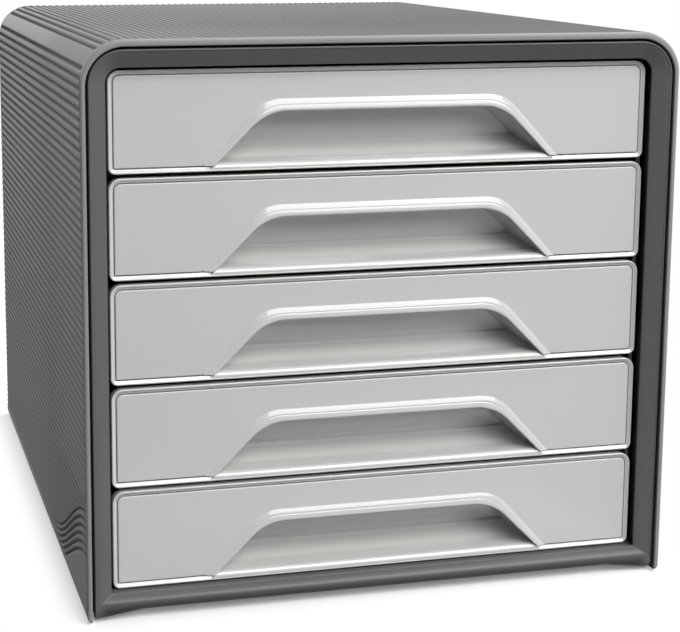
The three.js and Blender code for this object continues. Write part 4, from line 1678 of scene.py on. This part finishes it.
@dataclass
class Studio:
    """A pale floor that fades into white, soft lamps, and the camera at the photograph's angle.

    Args:
        floor_half: half the floor's width, in metres.
        floor_points: points along each side of the floor.
        level_reach: distance in metres from the middle to which the floor is level.
        floor_dish: how steeply it falls beyond that.
        seen_floor: colour of the floor to the camera.
        floor_bounce: its colour to light that bounces.
        floor_glow: light that it gives of its own to the camera.
        fade_beside: distances in metres, in x, between which the floor fades to white.
        fade_before: the same in y.
        ambient: strength of the sky's light on the object.
        eye: the camera's place, in millimetres.
        yaw: its turn to the right, in degrees.
        pitch: its tilt down, in degrees.
        roll: its turn about its own axis, in degrees.
        lens: its focal length in millimetres.
        sensor: width of its sensor in millimetres.
        shift: the photograph's off-centre crop, as shares of the picture's width.
        clip: the nearest and the furthest distance that it sees, in metres.
        soft_boxes: the lamps.
    """

    floor_half: float = 6.0
    floor_points: int = 24
    level_reach: float = 1.5
    floor_dish: float = 0.0002
    seen_floor: float = 0.88
    floor_bounce: float = 0.22
    floor_glow: float = 0.18
    fade_beside: tuple[float, float] = (0.138, 0.158)
    fade_before: tuple[float, float] = (0.21, 0.52)
    ambient: float = 0.06
    eye: tuple[float, float, float] = (-249.646, -911.92, 315.935)
    yaw: float = 13.851
    pitch: float = 9.588
    roll: float = -0.045
    lens: float = 89.1975
    sensor: float = 36.0
    shift: tuple[float, float] = (0.13808, -0.14479)
    clip: tuple[float, float] = (0.01, 50.0)
    soft_boxes: tuple[SoftBox, ...] = (
        SoftBox("overhead_box", (0.5, 0.45, 1.5), (0, 0, 0.25), (0.5, 0.8), 18),
        SoftBox("left_box", (-1.5, 1.2, 0.9), (-0.14, 0, 0.14), (0.8, 0.8), 30),
        SoftBox("front_box", (0.6, -1.6, 1.3), (0, -0.1, 0.15), (1.6, 1.3), 40),
        SoftBox("front_top_box", (0.9, -0.85, 1.45), (0.05, -0.18, 0.15), (1.4, 0.9), 13),
        SoftBox("rear_box", (-0.5, 2.8, 0.75), (-0.1, 0, 0.2), (2.4, 0.7), 25))

    def floor(self) -> None:
        """A wide sheet at the desk's height: level near the object, then z falls with distance squared."""
        n = self.floor_points
        u = np.linspace(-1, 1, n) * self.floor_half
        xx, yy = np.meshgrid(u, u, indexing="ij")
        zz = -self.floor_dish * np.clip(np.hypot(xx, yy) - self.level_reach, 0, None) ** 2
        mesh = bpy.data.meshes.new("studio_floor")
        points = np.stack([xx, yy, zz], -1).reshape(-1, 3)
        mesh.from_pydata(points.tolist(), [], grid_faces(n, n, False, False)[:, ::-1].tolist())
        mesh.update()
        mesh.materials.append(self.floor_material())
        add_object("studio_floor", mesh)

    def floor_material(self) -> bpy.types.Material:
        """The floor's colours: matt under the object, white further off.

        Returns:
            The material. Only the camera, mirrors and glass see the glow and the white.
        """
        material = bpy.data.materials.new("studio floor")
        material.use_nodes = True
        graph = Graph(material.node_tree)
        seen = self.seen(graph)
        colour = graph.mix(seen, tint(WHITE, self.floor_bounce), tint(WHITE, self.seen_floor))
        matt = graph.node("ShaderNodeBsdfDiffuse", None, {"Color": colour})
        glow = graph.node("ShaderNodeEmission", None, {"Color": WHITE, "Strength": seen * self.floor_glow})
        near = graph.node("ShaderNodeAddShader", None, {0: matt, 1: glow})
        far = graph.node("ShaderNodeEmission", None, {"Color": WHITE, "Strength": seen})
        beside = self.away(graph, 0, self.fade_beside)
        before = self.away(graph, 1, self.fade_before)
        fade = beside.maths("MAXIMUM", beside, before)
        both = graph.node("ShaderNodeMixShader", None, {0: fade, 1: near, 2: far})
        graph.node("ShaderNodeOutputMaterial", None, {"Surface": both})
        return material

    @staticmethod
    def away(graph: Graph, axis: int, fade: tuple[float, float]) -> Wire:
        """How far the floor has faded to white along x or y.

        Args:
            graph: the floor's graph.
            axis: 0 for x, 1 for y.
            fade: distances from the middle between which it fades, in metres.

        Returns:
            A smooth step of the distance from the middle.
        """
        place = graph.node("ShaderNodeTexCoord", output="Object")
        along = graph.node("ShaderNodeSeparateXYZ", None, {0: place}, output=axis)
        return graph.node("ShaderNodeMapRange", {"interpolation_type": "SMOOTHSTEP"}, {
            "Value": along.maths("ABSOLUTE", along), "From Min": fade[0], "From Max": fade[1]})

    @staticmethod
    def seen(graph: Graph) -> Wire:
        """1 for what the camera sees straight, in a mirror or through glass, and 0 for light that bounces.

        Args:
            graph: the graph of the floor or the sky.

        Returns:
            The three kinds of ray added up, and held at 1.
        """
        camera, glossy, glass = (graph.node("ShaderNodeLightPath", output=f"Is {kind} Ray")
                                 for kind in ("Camera", "Glossy", "Transmission"))
        return graph.node("ShaderNodeMath", {"operation": "ADD", "use_clamp": True}, {
            0: camera + glossy, 1: glass})

    def sky(self) -> None:
        """White to the camera and in mirrors, a dimmer even light for the rest."""
        world = bpy.data.worlds.new("studio sky")
        world.use_nodes = True
        bpy.context.scene.world = world
        graph = Graph(world.node_tree)
        strength = self.ambient + self.seen(graph) * (1.0 - self.ambient)
        back = graph.node("ShaderNodeBackground", None, {"Color": WHITE, "Strength": strength})
        graph.node("ShaderNodeOutputWorld", None, {"Surface": back})

    def camera(self) -> None:
        """The camera from yaw, pitch and roll, with the photograph's off-centre crop as shift.

        The view direction is (sin yaw cos pitch, cos yaw cos pitch, -sin pitch). The level direction and
        the one across it are turned by the roll.
        """
        yaw, pitch, roll = (math.radians(a) for a in (self.yaw, self.pitch, self.roll))
        ahead = np.array([math.sin(yaw) * math.cos(pitch), math.cos(yaw) * math.cos(pitch), -math.sin(pitch)])
        right = np.array([math.cos(yaw), -math.sin(yaw), 0.0])
        down = np.cross(ahead, right)
        level = math.cos(roll) * right + math.sin(roll) * down
        fall = math.cos(roll) * down - math.sin(roll) * right
        data = bpy.data.cameras.new("photo_camera")
        data.sensor_fit = "HORIZONTAL"
        data.sensor_width = self.sensor
        data.lens = self.lens
        data.shift_x, data.shift_y = self.shift
        data.clip_start, data.clip_end = self.clip
        camera = add_object("photo_camera", data)
        turn = Matrix(np.stack([level, -fall, -ahead], 1).tolist())
        camera.matrix_world = Matrix.Translation(Vector(self.eye) * MM) @ turn.to_4x4()
        bpy.context.scene.camera = camera

    def build(self) -> None:
        """Sets the view transform and makes everything round the object."""
        bpy.context.scene.view_settings.view_transform = "Standard"
        self.camera()
        self.floor()
        self.sky()
        for box in self.soft_boxes:
            box.build()


def main() -> None:
    """Builds the studio and the file drawer."""
    logging.basicConfig(level=logging.INFO, format="%(message)s")
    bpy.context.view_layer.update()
    for part in (Studio(), HousingCover(), FrontFrame(), FootPads(), InnerHousing(), DrawerStack()):
        part.build()
    bpy.context.view_layer.update()


if __name__ == "__main__":
    main()
